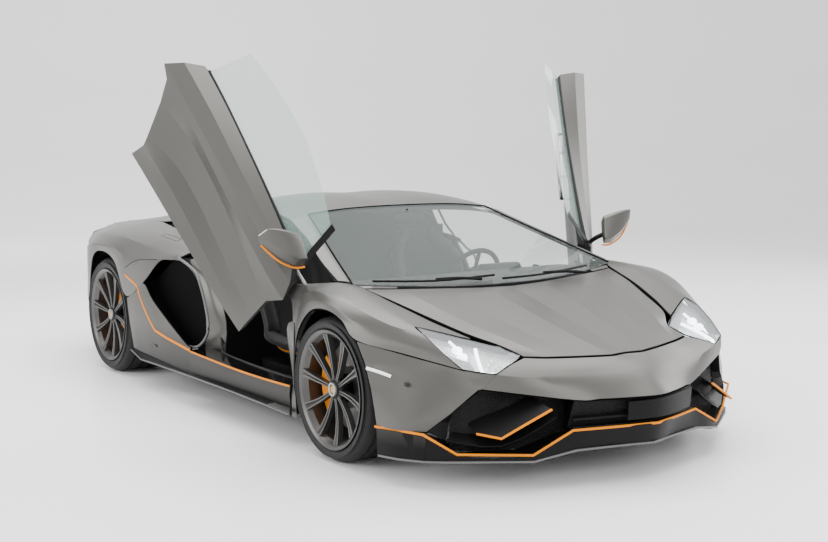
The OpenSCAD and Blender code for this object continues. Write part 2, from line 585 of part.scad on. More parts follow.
module knuckle_left() color(dark) upright(kingpin, fy0, fr, 846 * kx, disc_d);
module knuckle_right() mirror([1, 0, 0]) knuckle_left();
module rear_knuckles() color(dark) pair() upright(760 * kx, ry0, rr, 812 * kx, disc_d - 20);

module steering_wheel() color(black) {
    translate(fit([370, -600, 690])) rotate([-66, 0, 0]) {
        rotate_extrude() translate([wheel_d / 2 - 15, 0]) circle(r = 15, $fn = 20);
        translate([-wheel_d / 2 + 10, -20, -8]) cube([wheel_d - 20, 40, 16]);
        translate([-12, -wheel_d / 2 + 10, -8]) cube([24, wheel_d / 2, 16]);
        translate([0, 0, -40]) cylinder(h = 50, r = 45);
        translate([0, 0, -262]) cylinder(h = 232, r = 22);
    }
}

module tyre(d, w, rim) color(black) rotate([0, 90, 0]) rotate_extrude($fn = 96)
    polygon([[rim / 2 - 12, -w / 2 + 8], [rim / 2 + 10, -w / 2 - 4],
        [(d + rim) / 4 + 4, -w / 2 - 12], [d / 2 - 22, -w / 2 + 2], [d / 2 - 4, -w / 2 + 24],
        [d / 2, -w / 2 + 60], [d / 2, w / 2 - 60], [d / 2 - 4, w / 2 - 24], [d / 2 - 22, w / 2 - 2],
        [(d + rim) / 4 + 4, w / 2 + 12], [rim / 2 + 10, w / 2 + 4], [rim / 2 - 12, w / 2 - 8]]);

// Barrel, spokes, hub and brake disc; dz is the disc's inner face, seen from the wheel's middle
module rim(d, w, dz, brake) color(dark) rotate([0, 90, 0]) {
    rotate_extrude($fn = 96) polygon([[d / 2 - 34, -w / 2 + 6], [d / 2 - 12.3, -w / 2 + 6],
        [d / 2 - 12.3, w / 2 - 8], [d / 2, w / 2 + 2], [d / 2, w / 2 + 8], [d / 2 - 22, w / 2 + 2],
        [d / 2 - 34, w / 2 - 20]]);
    for (i = [0:spokes - 1]) rotate([0, 0, i * 360 / spokes]) translate([0, 0, w / 2 - 44])
        linear_extrude(30) polygon([[40, -12], [d / 4, -14], [d / 2 - 26, -26], [d / 2 - 26, -12],
            [d / 4, -4], [d / 4, 4], [d / 2 - 26, 12], [d / 2 - 26, 26], [d / 4, 14], [40, 12]]);
    translate([0, 0, dz]) cylinder(h = w / 2 - 20 - dz, r = 62);
    translate([0, 0, dz]) cylinder(h = 30, d = brake);
}

module tyre_front_left() translate([tf, fy0, fr]) tyre(front_tyre_d, front_tyre_w, front_rim_d);
module rim_front_left() translate([tf, fy0, fr]) rim(front_rim_d, front_tyre_w, 846 * kx - tf, disc_d);
module tyre_front_right() mirror([1, 0, 0]) tyre_front_left();
module rim_front_right() mirror([1, 0, 0]) rim_front_left();
module tyre_rear_left() translate([tr, ry0, rr]) tyre(rear_tyre_d, rear_tyre_w, rear_rim_d);
module rim_rear_left() translate([tr, ry0, rr]) rim(rear_rim_d, rear_tyre_w, 812 * kx - tr, disc_d - 20);
module tyre_rear_right() mirror([1, 0, 0]) tyre_rear_left();
module rim_rear_right() mirror([1, 0, 0]) rim_rear_left();

tub();
cabin_shell();
windscreen();
cabin_glass();
cowl();
front_wings();
front_bumper();
front_splitter();
intake_ducts();
headlamps();
bonnet();
rear_quarters();
side_sills();
side_skirts();
door_posts();
rear_bumper();
rear_grille();
rear_diffuser();
exhaust();
tail_lamps();
rear_wing();
engine_cover();
engine_block();
wheel_liners();
dashboard();
centre_console();
seats();
rear_bulkhead();
luggage_tub();
suspension();
door_left();
door_trim_left();
door_glass_left();
mirror_left();
door_right();
door_trim_right();
door_glass_right();
mirror_right();
knuckle_left();
knuckle_right();
rear_knuckles();
steering_wheel();
tyre_front_left();
rim_front_left();
tyre_front_right();
rim_front_right();
tyre_rear_left();
rim_rear_left();
tyre_rear_right();
rim_rear_right();
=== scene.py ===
"""Visual model of a low mid-engined supercar with raised scissor doors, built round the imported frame."""

import json
import math

import bpy
import numpy as np
from mathutils import Matrix, Vector
from mathutils.bvhtree import BVHTree


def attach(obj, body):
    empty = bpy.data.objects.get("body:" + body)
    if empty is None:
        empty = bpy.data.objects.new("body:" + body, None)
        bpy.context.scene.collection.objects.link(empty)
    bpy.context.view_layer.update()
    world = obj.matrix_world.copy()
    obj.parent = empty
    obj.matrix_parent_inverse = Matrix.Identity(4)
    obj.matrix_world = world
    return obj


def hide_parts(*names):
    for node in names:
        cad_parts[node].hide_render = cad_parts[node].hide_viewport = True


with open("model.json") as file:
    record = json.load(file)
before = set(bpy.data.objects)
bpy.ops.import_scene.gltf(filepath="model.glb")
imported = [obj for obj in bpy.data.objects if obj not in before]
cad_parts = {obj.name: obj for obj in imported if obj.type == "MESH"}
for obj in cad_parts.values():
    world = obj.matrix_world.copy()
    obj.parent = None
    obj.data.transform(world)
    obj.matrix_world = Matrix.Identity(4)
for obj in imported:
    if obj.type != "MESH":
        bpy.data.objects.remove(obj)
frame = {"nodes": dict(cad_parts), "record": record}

bl_info = {
    "name": "Scissor Door Supercar",
    "version": (1, 0, 0),
    "blender": (4, 5, 0),
    "location": "View3D > Sidebar > Supercar",
    "description": "Builds the panels, wheels, lamps, glass and cabin of the car round its packed frame",
    "category": "Object",
}

MM = 0.001
HINGE_P = np.array([900.0, -956.0, 712.0])
HINGE_A = np.array([0.884, -0.197, -0.423])
HINGE_A = HINGE_A / np.linalg.norm(HINGE_A)
DOOR_OPEN = 63.2
FRONT_AXLE, REAR_AXLE = -1350.0, 1350.0
FRONT_R, REAR_R = 330.5, 355.5
WHEELS = {
    "front": {"x": 860, "y": FRONT_AXLE, "radius": FRONT_R, "width": 250, "rim": 271.5, "disc": 198,
              "disc_x": 846},
    "rear": {"x": 835, "y": REAR_AXLE, "radius": REAR_R, "width": 330, "rim": 284, "disc": 188,
             "disc_x": 812}}
ROUND_STEPS = 2
ROUND_ANGLE = math.radians(24)
SEAL_REACH = 8.0
STRIP_THICK = 0.0006
SPOKES = 10
SPOKE_DEPTH = 26
SEAT_THICK = 0.05
SEAT_X = 445

# ---------- nets of the left side, in millimetres ----------
BONNET = [
    [[0, -2204, 525], [0, -2050, 568], [0, -1850, 622], [0, -1650, 674], [0, -1500, 710], [0, -1410, 734]],
    [[90, -2213, 524], [130, -2050, 570], [150, -1850, 625], [165, -1650, 679], [175, -1495, 716],
     [180, -1400, 738]],
    [[240, -2174, 528], [290, -2035, 568], [340, -1835, 624], [365, -1640, 680], [385, -1480, 722],
     [395, -1374, 747]],
    [[383, -2127, 532], [420, -2015, 562], [500, -1830, 618], [555, -1630, 676], [590, -1460, 726],
     [600, -1330, 754]],
    [[474, -2094, 539], [492, -1972, 566], [584, -1846, 612], [654, -1640, 670], [708, -1460, 720],
     [746, -1284, 760]]]
SCREEN = [
    [[0, -1393, 751], [270, -1380, 755], [540, -1325, 766], [788, -1232, 783]],
    [[0, -1080, 868], [250, -1070, 869], [490, -1030, 868], [716, -965, 872]],
    [[0, -765, 974], [230, -758, 972], [440, -738, 966], [641, -700, 961]],
    [[0, -441, 1080], [210, -441, 1078], [400, -439, 1070], [568, -436, 1053]]]
ROOF = [
    [[0, -440, 1081], [220, -440, 1079], [400, -438, 1071], [568, -436, 1053], [672, -425, 1030]],
    [[0, -300, 1110], [220, -300, 1112], [400, -300, 1100], [560, -290, 1078], [661, -280, 1050]],
    [[0, -120, 1128], [220, -120, 1133], [400, -120, 1122], [560, -110, 1094], [657, -100, 1060]],
    [[0, 60, 1130], [220, 60, 1136], [400, 60, 1122], [560, 70, 1092], [660, 70, 1052]],
    [[0, 250, 1118], [220, 250, 1124], [400, 250, 1108], [560, 240, 1076], [672, 225, 1031]],
    [[0, 440, 1094], [220, 440, 1100], [400, 440, 1084], [555, 430, 1052], [668, 400, 1008]],
    [[0, 600, 1066], [220, 600, 1070], [400, 600, 1056], [545, 590, 1026], [650, 560, 985]]]
PILLAR = [
    [[785, -1221, 787], [716, -965, 872], [641, -700, 961], [568, -436, 1053]],
    [[808, -1198, 794], [742, -950, 878], [670, -690, 966], [600, -433, 1048]],
    [[831, -1170, 795], [782, -925, 868], [716, -680, 951], [672, -425, 1030]]]
WING = [
    [[596, -1885, 597], [632, -1795, 624], [668, -1700, 652], [722, -1500, 710], [770, -1256, 772],
     [836, -1184, 788], [858, -1080, 777], [880, -960, 764], [908, -832, 752]],
    [[806, -1768, 655], [816, -1712, 673], [826, -1650, 692], [842, -1500, 737], [850, -1350, 775],
     [862, -1200, 786], [880, -1080, 776], [898, -960, 758], [918, -838, 740]],
    [[812, -1860, 622], [858, -1775, 645], [900, -1700, 665], [950, -1560, 712], [968, -1400, 752],
     [966, -1230, 760], [955, -1100, 744], [945, -1010, 712], [944, -932, 668]],
    [[796, -1960, 565], [880, -1815, 592], [945, -1690, 615], [992, -1560, 672], [1010, -1400, 722],
     [1006, -1230, 722], [986, -1090, 668], [962, -1010, 600], [951, -950, 590]],
    [[768, -2050, 507], [888, -1822, 550], [1000, -1608, 592], [1008, -1500, 664], [1012, -1380, 697],
     [1008, -1230, 680], [992, -1090, 590], [970, -1000, 480], [958, -962, 300]]]
WING_FOOT = [
    [[951, -948, 590], [950, -886, 543], [948, -935, 315], [962, -944, 240], [962, -950, 131]],
    [[958, -972, 584], [972, -990, 460], [962, -966, 300], [958, -976, 230], [958, -985, 131]]]
CORNER = [
    [[765, -2053, 501.6], [826, -1940, 522.8], [886.5, -1825.6, 544], [1000, -1610.6, 587]],
    [[735, -2083, 455], [850, -1935, 475], [950, -1790, 495], [1011, -1692, 508]],
    [[712, -2092, 421], [868, -1950, 400], [955, -1822, 395], [1008, -1735, 400]],
    [[800, -2020, 320], [890, -1950, 315], [955, -1850, 305], [998, -1745, 310]],
    [[884, -1966, 245], [925, -1915, 243], [960, -1850, 241], [988, -1745, 241]]]
CHEEK = [
    [[644, -2127, 482], [705, -2091, 493], [767, -2052, 502]],
    [[671, -2114, 453], [703, -2100, 454], [736, -2082, 455]],
    [[698, -2101, 424], [705, -2097, 422], [713, -2091, 421]]]
LAMP = [
    [[484, -2085, 541], [502, -1967, 564], [602, -1888, 592], [702, -1826, 622], [803, -1773, 652]],
    [[520, -2104, 527], [580, -2030, 538], [660, -1955, 568], [739, -1896, 601], [809, -1861, 621]],
    [[582, -2116, 508], [640, -2070, 516], [700, -2020, 532], [754, -1981, 552], [793, -1961, 564]],
    [[643, -2126, 486], [680, -2105, 492], [712, -2087, 497], [741, -2067, 503], [763, -2053, 508]]]
NOSE = [
    [[0, -2212, 518], [92, -2221, 517], [240, -2182, 520], [383, -2135, 524], [478, -2102, 532]],
    [[0, -2258, 498], [110, -2260, 492], [260, -2226, 492], [420, -2170, 496], [560, -2114, 512]],
    [[0, -2318, 460], [120, -2312, 452], [280, -2266, 448], [450, -2204, 455], [644, -2127, 482]],
    [[0, -2424, 374], [130, -2384, 372], [250, -2330, 370], [350, -2280, 368], [698, -2101, 424]]]
LIP = [
    [[0, -2412, 250], [180, -2350, 244], [359, -2280, 238], [536, -2232, 152], [790, -2046, 148],
     [884, -1966, 239], [960, -1850, 235], [988, -1745, 235]],
    [[0, -2384, 156], [180, -2332, 154], [352, -2290, 152], [536, -2238, 120], [800, -2046, 116],
     [892, -1962, 114], [952, -1856, 112], [984, -1745, 110]]]
DOOR = [
    [[903, -832, 756], [880, -700, 776], [856, -450, 796], [838, -200, 812], [826, 50, 826], [822, 268, 832]],
    [[916, -830, 742], [915, -700, 744], [910, -450, 756], [908, -200, 770], [912, 50, 788], [922, 310, 800]],
    [[930, -880, 705], [946, -700, 700], [956, -450, 706], [965, -200, 718], [978, 60, 732], [992, 344, 742]],
    [[947, -930, 631], [958, -760, 632], [964, -480, 648], [970, -220, 670], [976, 40, 692], [982, 280, 704]],
    [[948, -886, 545], [944, -740, 560], [936, -480, 588], [934, -220, 610], [946, 0, 620], [975, 215, 600]],
    [[944, -905, 430], [946, -740, 440], [940, -480, 462], [938, -240, 480], [956, -50, 480],
     [988, 120, 440]],
    [[944, -918, 360], [958, -740, 370], [968, -480, 388], [975, -240, 402], [986, -60, 408], [994, 98, 402]],
    [[942, -928, 315], [962, -740, 316], [976, -480, 318], [990, -220, 322], [1000, -40, 325],
     [1011, 98, 328]]]
DOOR_IN = [
    [[846, -820, 758], [832, -700, 772], [818, -450, 788], [806, -200, 804], [796, 50, 818], [790, 240, 824]],
    [[842, -824, 742], [836, -700, 744], [830, -450, 752], [824, -200, 762], [822, 50, 776], [842, 188, 786]],
    [[850, -872, 705], [850, -700, 700], [846, -450, 702], [842, -200, 710], [842, 20, 716], [848, 138, 722]],
    [[862, -900, 626], [862, -750, 630], [858, -480, 640], [856, -220, 650], [856, 0, 662], [858, 98, 668]],
    [[866, -872, 545], [864, -740, 552], [860, -480, 570], [860, -220, 590], [866, -20, 596], [872, 62, 588]],
    [[868, -890, 430], [868, -740, 436], [866, -480, 452], [868, -240, 462], [880, -50, 462], [900, 80, 436]],
    [[872, -904, 360], [876, -740, 366], [880, -480, 380], [886, -240, 390], [896, -50, 394], [908, 68, 392]],
    [[880, -914, 322], [886, -740, 322], [892, -480, 324], [900, -220, 328], [910, -40, 330], [922, 78, 332]]]
GLASS = [
    [[878, -814, 760], [862, -690, 777], [842, -440, 794], [826, -190, 809], [815, 55, 823], [810, 240, 829]],
    [[810, -775, 868], [796, -600, 884], [780, -400, 900], [766, -160, 912], [758, 50, 916], [756, 222, 924]],
    [[750, -728, 950], [728, -620, 978], [704, -440, 1014], [684, -240, 1040], [684, 60, 1034],
     [694, 216, 1014]]]
QUARTER = [
    [[800, 306, 846], [790, 500, 872], [770, 720, 900], [740, 960, 918], [712, 1150, 928], [690, 1350, 928],
     [672, 1550, 918], [655, 1740, 904], [622, 2000, 882], [602, 2200, 860], [578, 2370, 838]],
    [[868, 312, 828], [885, 500, 844], [890, 720, 864], [880, 960, 882], [868, 1150, 892], [848, 1350, 896],
     [820, 1550, 890], [775, 1740, 884], [705, 2000, 864], [680, 2200, 834], [640, 2372, 814]],
    [[950, 320, 798], [965, 500, 802], [975, 720, 820], [980, 960, 842], [978, 1150, 854], [968, 1350, 856],
     [948, 1550, 850], [912, 1740, 832], [812, 2000, 824], [766, 2200, 804], [705, 2374, 784]],
    [[960, 326, 780], [1000, 500, 772], [1022, 720, 752], [1030, 960, 752], [1034, 1150, 792],
     [1034, 1350, 800],
     [1024, 1550, 782], [986, 1740, 744], [876, 2000, 752], [812, 2200, 742], [757, 2346, 732]],
    [[962, 332, 772], [1003, 500, 762], [1026, 712, 620], [1028, 985, 514], [1026, 1150, 698],
     [1026, 1350, 752],
     [1020, 1550, 698], [985, 1738, 430], [902, 2000, 420], [828, 2200, 420], [775, 2345, 420]]]
BUTTRESS = [
    [[470, 640, 1044], [460, 900, 1020], [470, 1200, 988], [490, 1500, 948], [510, 1750, 914],
     [530, 2050, 880]],
    [[545, 592, 1025], [560, 900, 1006], [575, 1200, 970], [585, 1500, 934], [595, 1750, 908],
     [585, 2050, 882]],
    [[650, 562, 984], [676, 800, 962], [692, 1000, 946], [698, 1150, 932], [678, 1350, 927],
     [660, 1550, 917]]]
ROCKER = [
    [[1000, 130, 320], [1001, 190, 330], [1014, 380, 422], [1028, 578, 531], [1026, 711, 614],
     [1030, 830, 552], [1028, 965, 502]],
    [[1001, 130, 311], [1006, 220, 316], [1020, 420, 372], [1032, 560, 452], [1036, 680, 530],
     [1038, 820, 500], [1034, 938, 440]],
    [[1000, 130, 300], [1012, 260, 302], [1028, 460, 308], [1038, 620, 352], [1042, 740, 400],
     [1042, 830, 390], [1036, 908, 360]],
    [[1006, 130, 176], [1012, 260, 184], [1022, 460, 196], [1030, 620, 204], [1032, 740, 208],
     [1030, 830, 211], [1024, 888, 214]]]
SILL = [
    [[925, -906, 286], [935, -700, 284], [940, -480, 284], [945, -290, 287], [950, -100, 292],
     [955, 130, 300]],
    [[966, -942, 281], [975, -700, 278], [980, -480, 278], [985, -290, 282], [992, -100, 290],
     [1000, 130, 300]],
    [[972, -942, 240], [980, -700, 240], [986, -480, 240], [992, -290, 243], [998, -100, 248],
     [1006, 130, 252]],
    [[965, -942, 166], [972, -700, 168], [980, -480, 170], [986, -290, 171], [994, -100, 172],
     [1006, 130, 176]]]
SKIRT = [
    [[964, -942, 165], [971, -700, 167], [979, -480, 169], [985, -290, 170], [993, -100, 171],
     [1005, 130, 174],
     [1014, 460, 188], [1018, 740, 199], [1014, 885, 205]],
    [[1000, -1000, 150], [1003, -749, 155], [1008, -438, 160], [1012, -290, 162], [1016, -100, 163],
     [1022, 130, 165], [1030, 460, 164], [1036, 745, 162], [1038, 890, 198]]]
POST = [
    [[912, 316, 780], [915, 200, 665], [908, 120, 480], [905, 152, 276]],
    [[880, 250, 786], [880, 140, 665], [876, 50, 470], [872, 88, 276]],
    [[850, 222, 788], [850, 105, 660], [845, 0, 460], [842, 28, 276]]]
DUCT = [
    [[948, 345, 782], [945, 480, 750], [940, 700, 640], [935, 860, 600]],
    [[915, 202, 665], [925, 380, 610], [930, 600, 560], [925, 800, 540]],
    [[908, 121, 480], [920, 320, 440], [930, 540, 410], [930, 760, 400]],
    [[905, 152, 286], [930, 300, 300], [950, 520, 304], [955, 760, 306]]]
COWL = [
    [[0, -1396, 724], [200, -1388, 727], [440, -1352, 734], [740, -1256, 748]],
    [[0, -1392, 745], [200, -1384, 748], [440, -1346, 756], [740, -1246, 774]]]
COVER = [
    [[0, 618, 1064], [230, 618, 1068], [466, 646, 1042]],
    [[0, 900, 1030], [230, 900, 1034], [456, 900, 1018]],
    [[0, 1200, 982], [230, 1200, 988], [464, 1200, 982]],
    [[0, 1500, 934], [230, 1500, 942], [484, 1500, 942]],
    [[0, 1750, 902], [240, 1750, 906], [504, 1750, 908]],
    [[0, 2050, 866], [260, 2050, 868], [522, 2050, 874]]]
SPOILER = [
    [[0, 2070, 868], [300, 2070, 870], [570, 2070, 873]],
    [[0, 2240, 860], [300, 2240, 862], [565, 2240, 860]],
    [[0, 2426, 851], [300, 2416, 853], [556, 2390, 845]]]
TAIL = [
    [[0, 2420, 838], [300, 2412, 840], [560, 2388, 832], [640, 2373, 814], [705, 2375, 784]],
    [[0, 2434, 776], [300, 2426, 776], [560, 2404, 770], [668, 2386, 758], [757, 2348, 732]]]
GRILLE = [
    [[0, 2424, 775], [300, 2416, 775], [560, 2394, 769], [664, 2377, 757], [750, 2346, 730]],
    [[0, 2424, 620], [300, 2416, 620], [560, 2394, 615], [676, 2370, 600], [760, 2344, 580]],
    [[0, 2414, 471], [300, 2408, 471], [560, 2386, 463], [686, 2365, 452], [767, 2342, 426]]]
REAR_LOW = [
    [[0, 2422, 470], [300, 2416, 470], [560, 2394, 462], [690, 2372, 450], [775, 2347, 422]],
    [[0, 2436, 400], [300, 2430, 400], [560, 2406, 392], [700, 2382, 376], [776, 2354, 360]],
    [[0, 2402, 330], [300, 2398, 330], [560, 2382, 320], [690, 2364, 300], [768, 2342, 280]]]
TAIL_LAMP = [
    [[250, 2428, 746], [420, 2418, 746], [560, 2406, 742], [696, 2379, 728]],
    [[250, 2428, 700], [420, 2418, 698], [560, 2406, 694], [704, 2376, 684]]]


# ---------- curves and grids ----------
def spline(points, k):
    """Catmull-Rom through the points, k steps to each span."""
    p = np.asarray(points, float)
    n = len(p)
    out = []
    for i in range(n - 1):
        a, b, c, d = p[max(i - 1, 0)], p[i], p[i + 1], p[min(i + 2, n - 1)]
        for t in np.arange(k) / k:
            out.append(0.5 * (2 * b + (c - a) * t + (2 * a - 5 * b + 4 * c - d) * t * t
                              + (3 * b - a - 3 * c + d) * t ** 3))
    out.append(p[-1])
    return np.array(out)


def linear(points, k):
    """The same count of points along straight spans."""
    p = np.asarray(points, float)
    out = [p[i] + (p[i + 1] - p[i]) * t for i in range(len(p) - 1) for t in np.arange(k) / k]
    return np.array(out + [p[-1]])


def refine(net, k, kk=1, soft=0.0):
    """Net with k steps along its rows and kk across; soft 0 keeps the creases between rows, 1 rounds them."""
    g = np.array([spline(r, k) for r in net])
    if kk > 1:
        rounded = np.stack([spline(g[:, j], kk) for j in range(g.shape[1])], 1)
        straight = np.stack([linear(g[:, j], kk) for j in range(g.shape[1])], 1)
        g = rounded * soft + straight * (1 - soft)
    return g


def whole(net):
    """Both halves of a net that starts on the middle line."""
    return [[[-x, y, z] for x, y, z in r[:0:-1]] + [list(p) for p in r] for r in net]


def swing(points):
    """Points of the closed left door turned about its hinge, as the door stands at rest."""
    p = np.asarray(points, float)
    a = math.radians(DOOR_OPEN)
    v = p - HINGE_P
    return (v * math.cos(a) + np.cross(HINGE_A, v) * math.sin(a)
            + np.outer(v.reshape(-1, 3) @ HINGE_A, HINGE_A).reshape(v.shape) * (1 - math.cos(a))) + HINGE_P


def flip(points):
    """The same points on the other side of the car."""
    return np.asarray(points, float) * np.array([-1.0, 1.0, 1.0])


def swing_right(points):
    """Points of the closed left door as they stand on the open right door."""
    return flip(swing(points))


def unit(v):
    """Vectors of length one."""
    return v / np.maximum(np.linalg.norm(v, axis=-1, keepdims=True), 1e-6)


def add_mesh(name, verts, faces, material, body="car", angle=28.0):
    """New mesh object from millimetre points, in the row frame, riding on a body."""
    mesh = bpy.data.meshes.new(name)
    mesh.from_pydata([tuple(v) for v in np.asarray(verts, float) * MM], [], [tuple(f) for f in faces])
    mesh.validate()
    mesh.update()
    obj = bpy.data.objects.new(name, mesh)
    bpy.context.scene.collection.objects.link(obj)
    mesh.materials.append(material)
    mesh.shade_smooth()
    mesh.set_sharp_from_angle(angle=math.radians(angle))
    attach(obj, body)
    return obj


def grid_faces(m, n, offset=0, mirrored=False):
    """Quads of an m by n grid."""
    faces = []
    for i in range(m - 1):
        for j in range(n - 1):
            a, b = offset + i * n + j, offset + (i + 1) * n + j
            quad = (a, b, b + 1, a + 1)
            faces.append(quad[::-1] if mirrored else quad)
    return faces


def modifiers(obj, thick=0.0, bevel=0.0, offset=-1.0):
    """Thickness and rounded edges with hardened normals for a panel."""
    if thick:
        m = obj.modifiers.new("thickness", "SOLIDIFY")
        m.thickness = thick
        m.offset = offset
    if bevel:
        m = obj.modifiers.new("round", "BEVEL")
        m.width = bevel
        m.segments = ROUND_STEPS
        m.limit_method = "ANGLE"
        m.angle_limit = ROUND_ANGLE
        m.harden_normals = True
    return obj


def surface(name, net, material, body="car", k=5, kk=3, soft=0.0, both=True, thick=0.004, bevel=0.0012,
            move=None, outward=1, angle=28.0):
    """A panel, or both twins of one, from a net; returns the object."""
    g = refine(net, k, kk, soft)
    m, n = g.shape[:2]
    verts, faces = [], []
    for side in ((0, 1) if both else (0,)):
        q = g.reshape(-1, 3)
        if side:
            q = flip(q)
        if move is not None:
            q = move(q)
        faces += grid_faces(m, n, len(verts), mirrored=bool(side) != (outward < 0))
        verts += list(q)
    obj = add_mesh(name, verts, faces, material, body, angle=angle)
    return modifiers(obj, thick, bevel)


def seal(name, net, depth=7.0, body="car", both=True):
    """Black backing behind a panel, reaching a little under its neighbours, so that shut lines look dark."""
    g = refine(net, 3)
    g = g - unit(np.cross(np.gradient(g, axis=0), np.gradient(g, axis=1))) * depth
    left = g[:, :1] - unit(g[:, 1:2] - g[:, :1]) * SEAL_REACH
    right = g[:, -1:] + unit(g[:, -1:] - g[:, -2:-1]) * SEAL_REACH
    g = np.concatenate([left, g, right], 1)
    top = g[:1] - unit(g[1:2] - g[:1]) * SEAL_REACH
    low = g[-1:] + unit(g[-1:] - g[-2:-1]) * SEAL_REACH
    g = np.concatenate([top, g, low], 0)
    m, n = g.shape[:2]
    verts, faces = [], []
    for side in ((0, 1) if both else (0,)):
        q = flip(g.reshape(-1, 3)) if side else g.reshape(-1, 3)
        faces += grid_faces(m, n, len(verts), bool(side))
        verts += list(q)
    return add_mesh(name, verts, faces, MATS["seal"], body)


def tube(name, points, radius, material, body="car", smooth=4, sides=8, both=False, move=None, closed=False):
    """Round bar along a smooth line."""
    p = spline(points, smooth) if smooth > 1 else np.asarray(points, float)
    verts, faces = [], []
    for side in ((0, 1) if both else (0,)):
        q = flip(p) if side else p
        if move is not None:
            q = move(q)
        t = np.gradient(q, axis=0)
        if closed:
            t = np.roll(q, -1, 0) - np.roll(q, 1, 0)
        t /= np.maximum(np.linalg.norm(t, axis=1, keepdims=True), 1e-6)
        up = np.array([0.0, 0.0, 1.0]) if abs(t[0][2]) < 0.9 else np.array([0.0, 1.0, 0.0])
        base = len(verts)
        for c, d in zip(q, t):
            u = np.cross(up, d)
            u /= max(np.linalg.norm(u), 1e-6)
            w = np.cross(d, u)
            verts += [c + radius * (u * math.cos(a) + w * math.sin(a))
                      for a in np.arange(sides) * 2 * math.pi / sides]
        count = len(q)
        for i in range(count if closed else count - 1):
            for s in range(sides):
                a, b = base + i * sides, base + (i + 1) % count * sides
                faces.append((a + s, a + (s + 1) % sides, b + (s + 1) % sides, b + s))
        if not closed:
            faces.append(tuple(base + s for s in range(sides))[::-1])
            faces.append(tuple(base + (count - 1) * sides + s for s in range(sides)))
    return add_mesh(name, verts, faces, material, body, angle=50)


def ribbon(name, points, width, material, onto, body="car", lift=1.2, smooth=1, both=True, k=10, move=None):
    """Thin strip lying on the shown faces of other pieces, along a line of points."""
    tree = surface_tree(onto)
    p = spline(points, k) if smooth else linear(points, k)
    verts, faces = [], []
    for side in ((0, 1) if both else (0,)):
        q = flip(p) if side else p
        if move is not None:
            q = move(q)
        t = np.gradient(q, axis=0)
        base = len(verts)
        for c, d in zip(q, t):
            hit = tree.find_nearest(Vector(c * MM))
            nrm = np.array(hit[1])
            out = c - np.array([0.0, c[1], 330.0])
            if np.dot(nrm, out) < 0:
                nrm = -nrm
            foot = np.array(hit[0]) / MM
            s = np.cross(nrm, d)
            s /= max(np.linalg.norm(s), 1e-6)
            for sign in (-1, 1):
                e = tree.find_nearest(Vector((foot + sign * s * width / 2) * MM))
                verts.append(np.array(e[0]) / MM + nrm * lift)
        for i in range(len(q) - 1):
            a = base + 2 * i
            faces.append((a, a + 2, a + 3, a + 1))
    obj = add_mesh(name, verts, faces, material, body)
    return modifiers(obj, STRIP_THICK, 0, offset=0.0)


def surface_tree(objects):
    """Nearest-point tree of several meshes without their modifiers, in metres."""
    verts, polys = [], []
    for o in objects:
        base = len(verts)
        verts += [v.co.copy() for v in o.data.vertices]
        polys += [[base + i for i in f.vertices] for f in o.data.polygons]
    return BVHTree.FromPolygons(verts, polys)


def ring(name, profile, centre, axis, material, body, steps=96, closed=False, angle=35.0):
    """Turned piece: profile of (radius, distance along the axis); the axis is +X or -X."""
    verts, faces = [], []
    n = len(profile)
    for i in range(steps):
        a = 2 * math.pi * i / steps
        for r, x in profile:
            verts.append((centre[0] + axis * x, centre[1] + r * math.cos(a), centre[2] + r * math.sin(a)))
    spans = n if closed else n - 1
    for i in range(steps):
        for j in range(spans):
            a, b = i * n + j, (i + 1) % steps * n + j
            c, d = i * n + (j + 1) % n, (i + 1) % steps * n + (j + 1) % n
            faces.append((a, b, d, c) if axis > 0 else (a, c, d, b))
    return add_mesh(name, verts, faces, material, body, angle=angle)


def box_mesh(name, low, high, material, body="car", bevel=0.002):
    """Rounded box between two corners."""
    verts = [(x, y, z) for x in (low[0], high[0]) for y in (low[1], high[1]) for z in (low[2], high[2])]
    faces = [(0, 1, 3, 2), (4, 6, 7, 5), (0, 4, 5, 1), (2, 3, 7, 6), (0, 2, 6, 4), (1, 5, 7, 3)]
    return modifiers(add_mesh(name, verts, faces, material, body), 0, bevel)


def prism(name, outline, x0, x1, material, body="car", bevel=0.003):
    """Side outline of (y, z) points drawn out between two widths."""
    n = len(outline)
    verts = [(x, y, z) for x in (x0, x1) for y, z in outline]
    around = zip(outline, outline[1:] + outline[:1])
    faces = [tuple(range(n))[::-1], tuple(range(n, 2 * n))]
    faces += [(i, (i + 1) % n, n + (i + 1) % n, n + i) for i in range(n)]
    if sum(a[0] * b[1] - b[0] * a[1] for a, b in around) <= 0:
        faces = [f[::-1] for f in faces]
    return modifiers(add_mesh(name, verts, faces, material, body), 0, bevel)


# ---------- materials ----------
MATS = {}


def shader(name, color, rough=0.5, metal=0.0, coat=0.0, coat_rough=0.1, alpha=1.0, emit=0.0, sheen=0.0,
           specular=0.5):
    """Principled material with its constant values on the shader's own sockets."""
    mat = bpy.data.materials.new(name)
    mat.use_nodes = True
    p = mat.node_tree.nodes["Principled BSDF"]
    p.inputs["Base Color"].default_value = (*color, 1)
    p.inputs["Roughness"].default_value = rough
    p.inputs["Metallic"].default_value = metal
    p.inputs["Coat Weight"].default_value = coat
    p.inputs["Coat Roughness"].default_value = coat_rough
    p.inputs["Alpha"].default_value = alpha
    p.inputs["Sheen Weight"].default_value = sheen
    p.inputs["Specular IOR Level"].default_value = specular
    if emit:
        p.inputs["Emission Color"].default_value = (*color, 1)
        p.inputs["Emission Strength"].default_value = emit
    MATS[name] = mat
    return mat


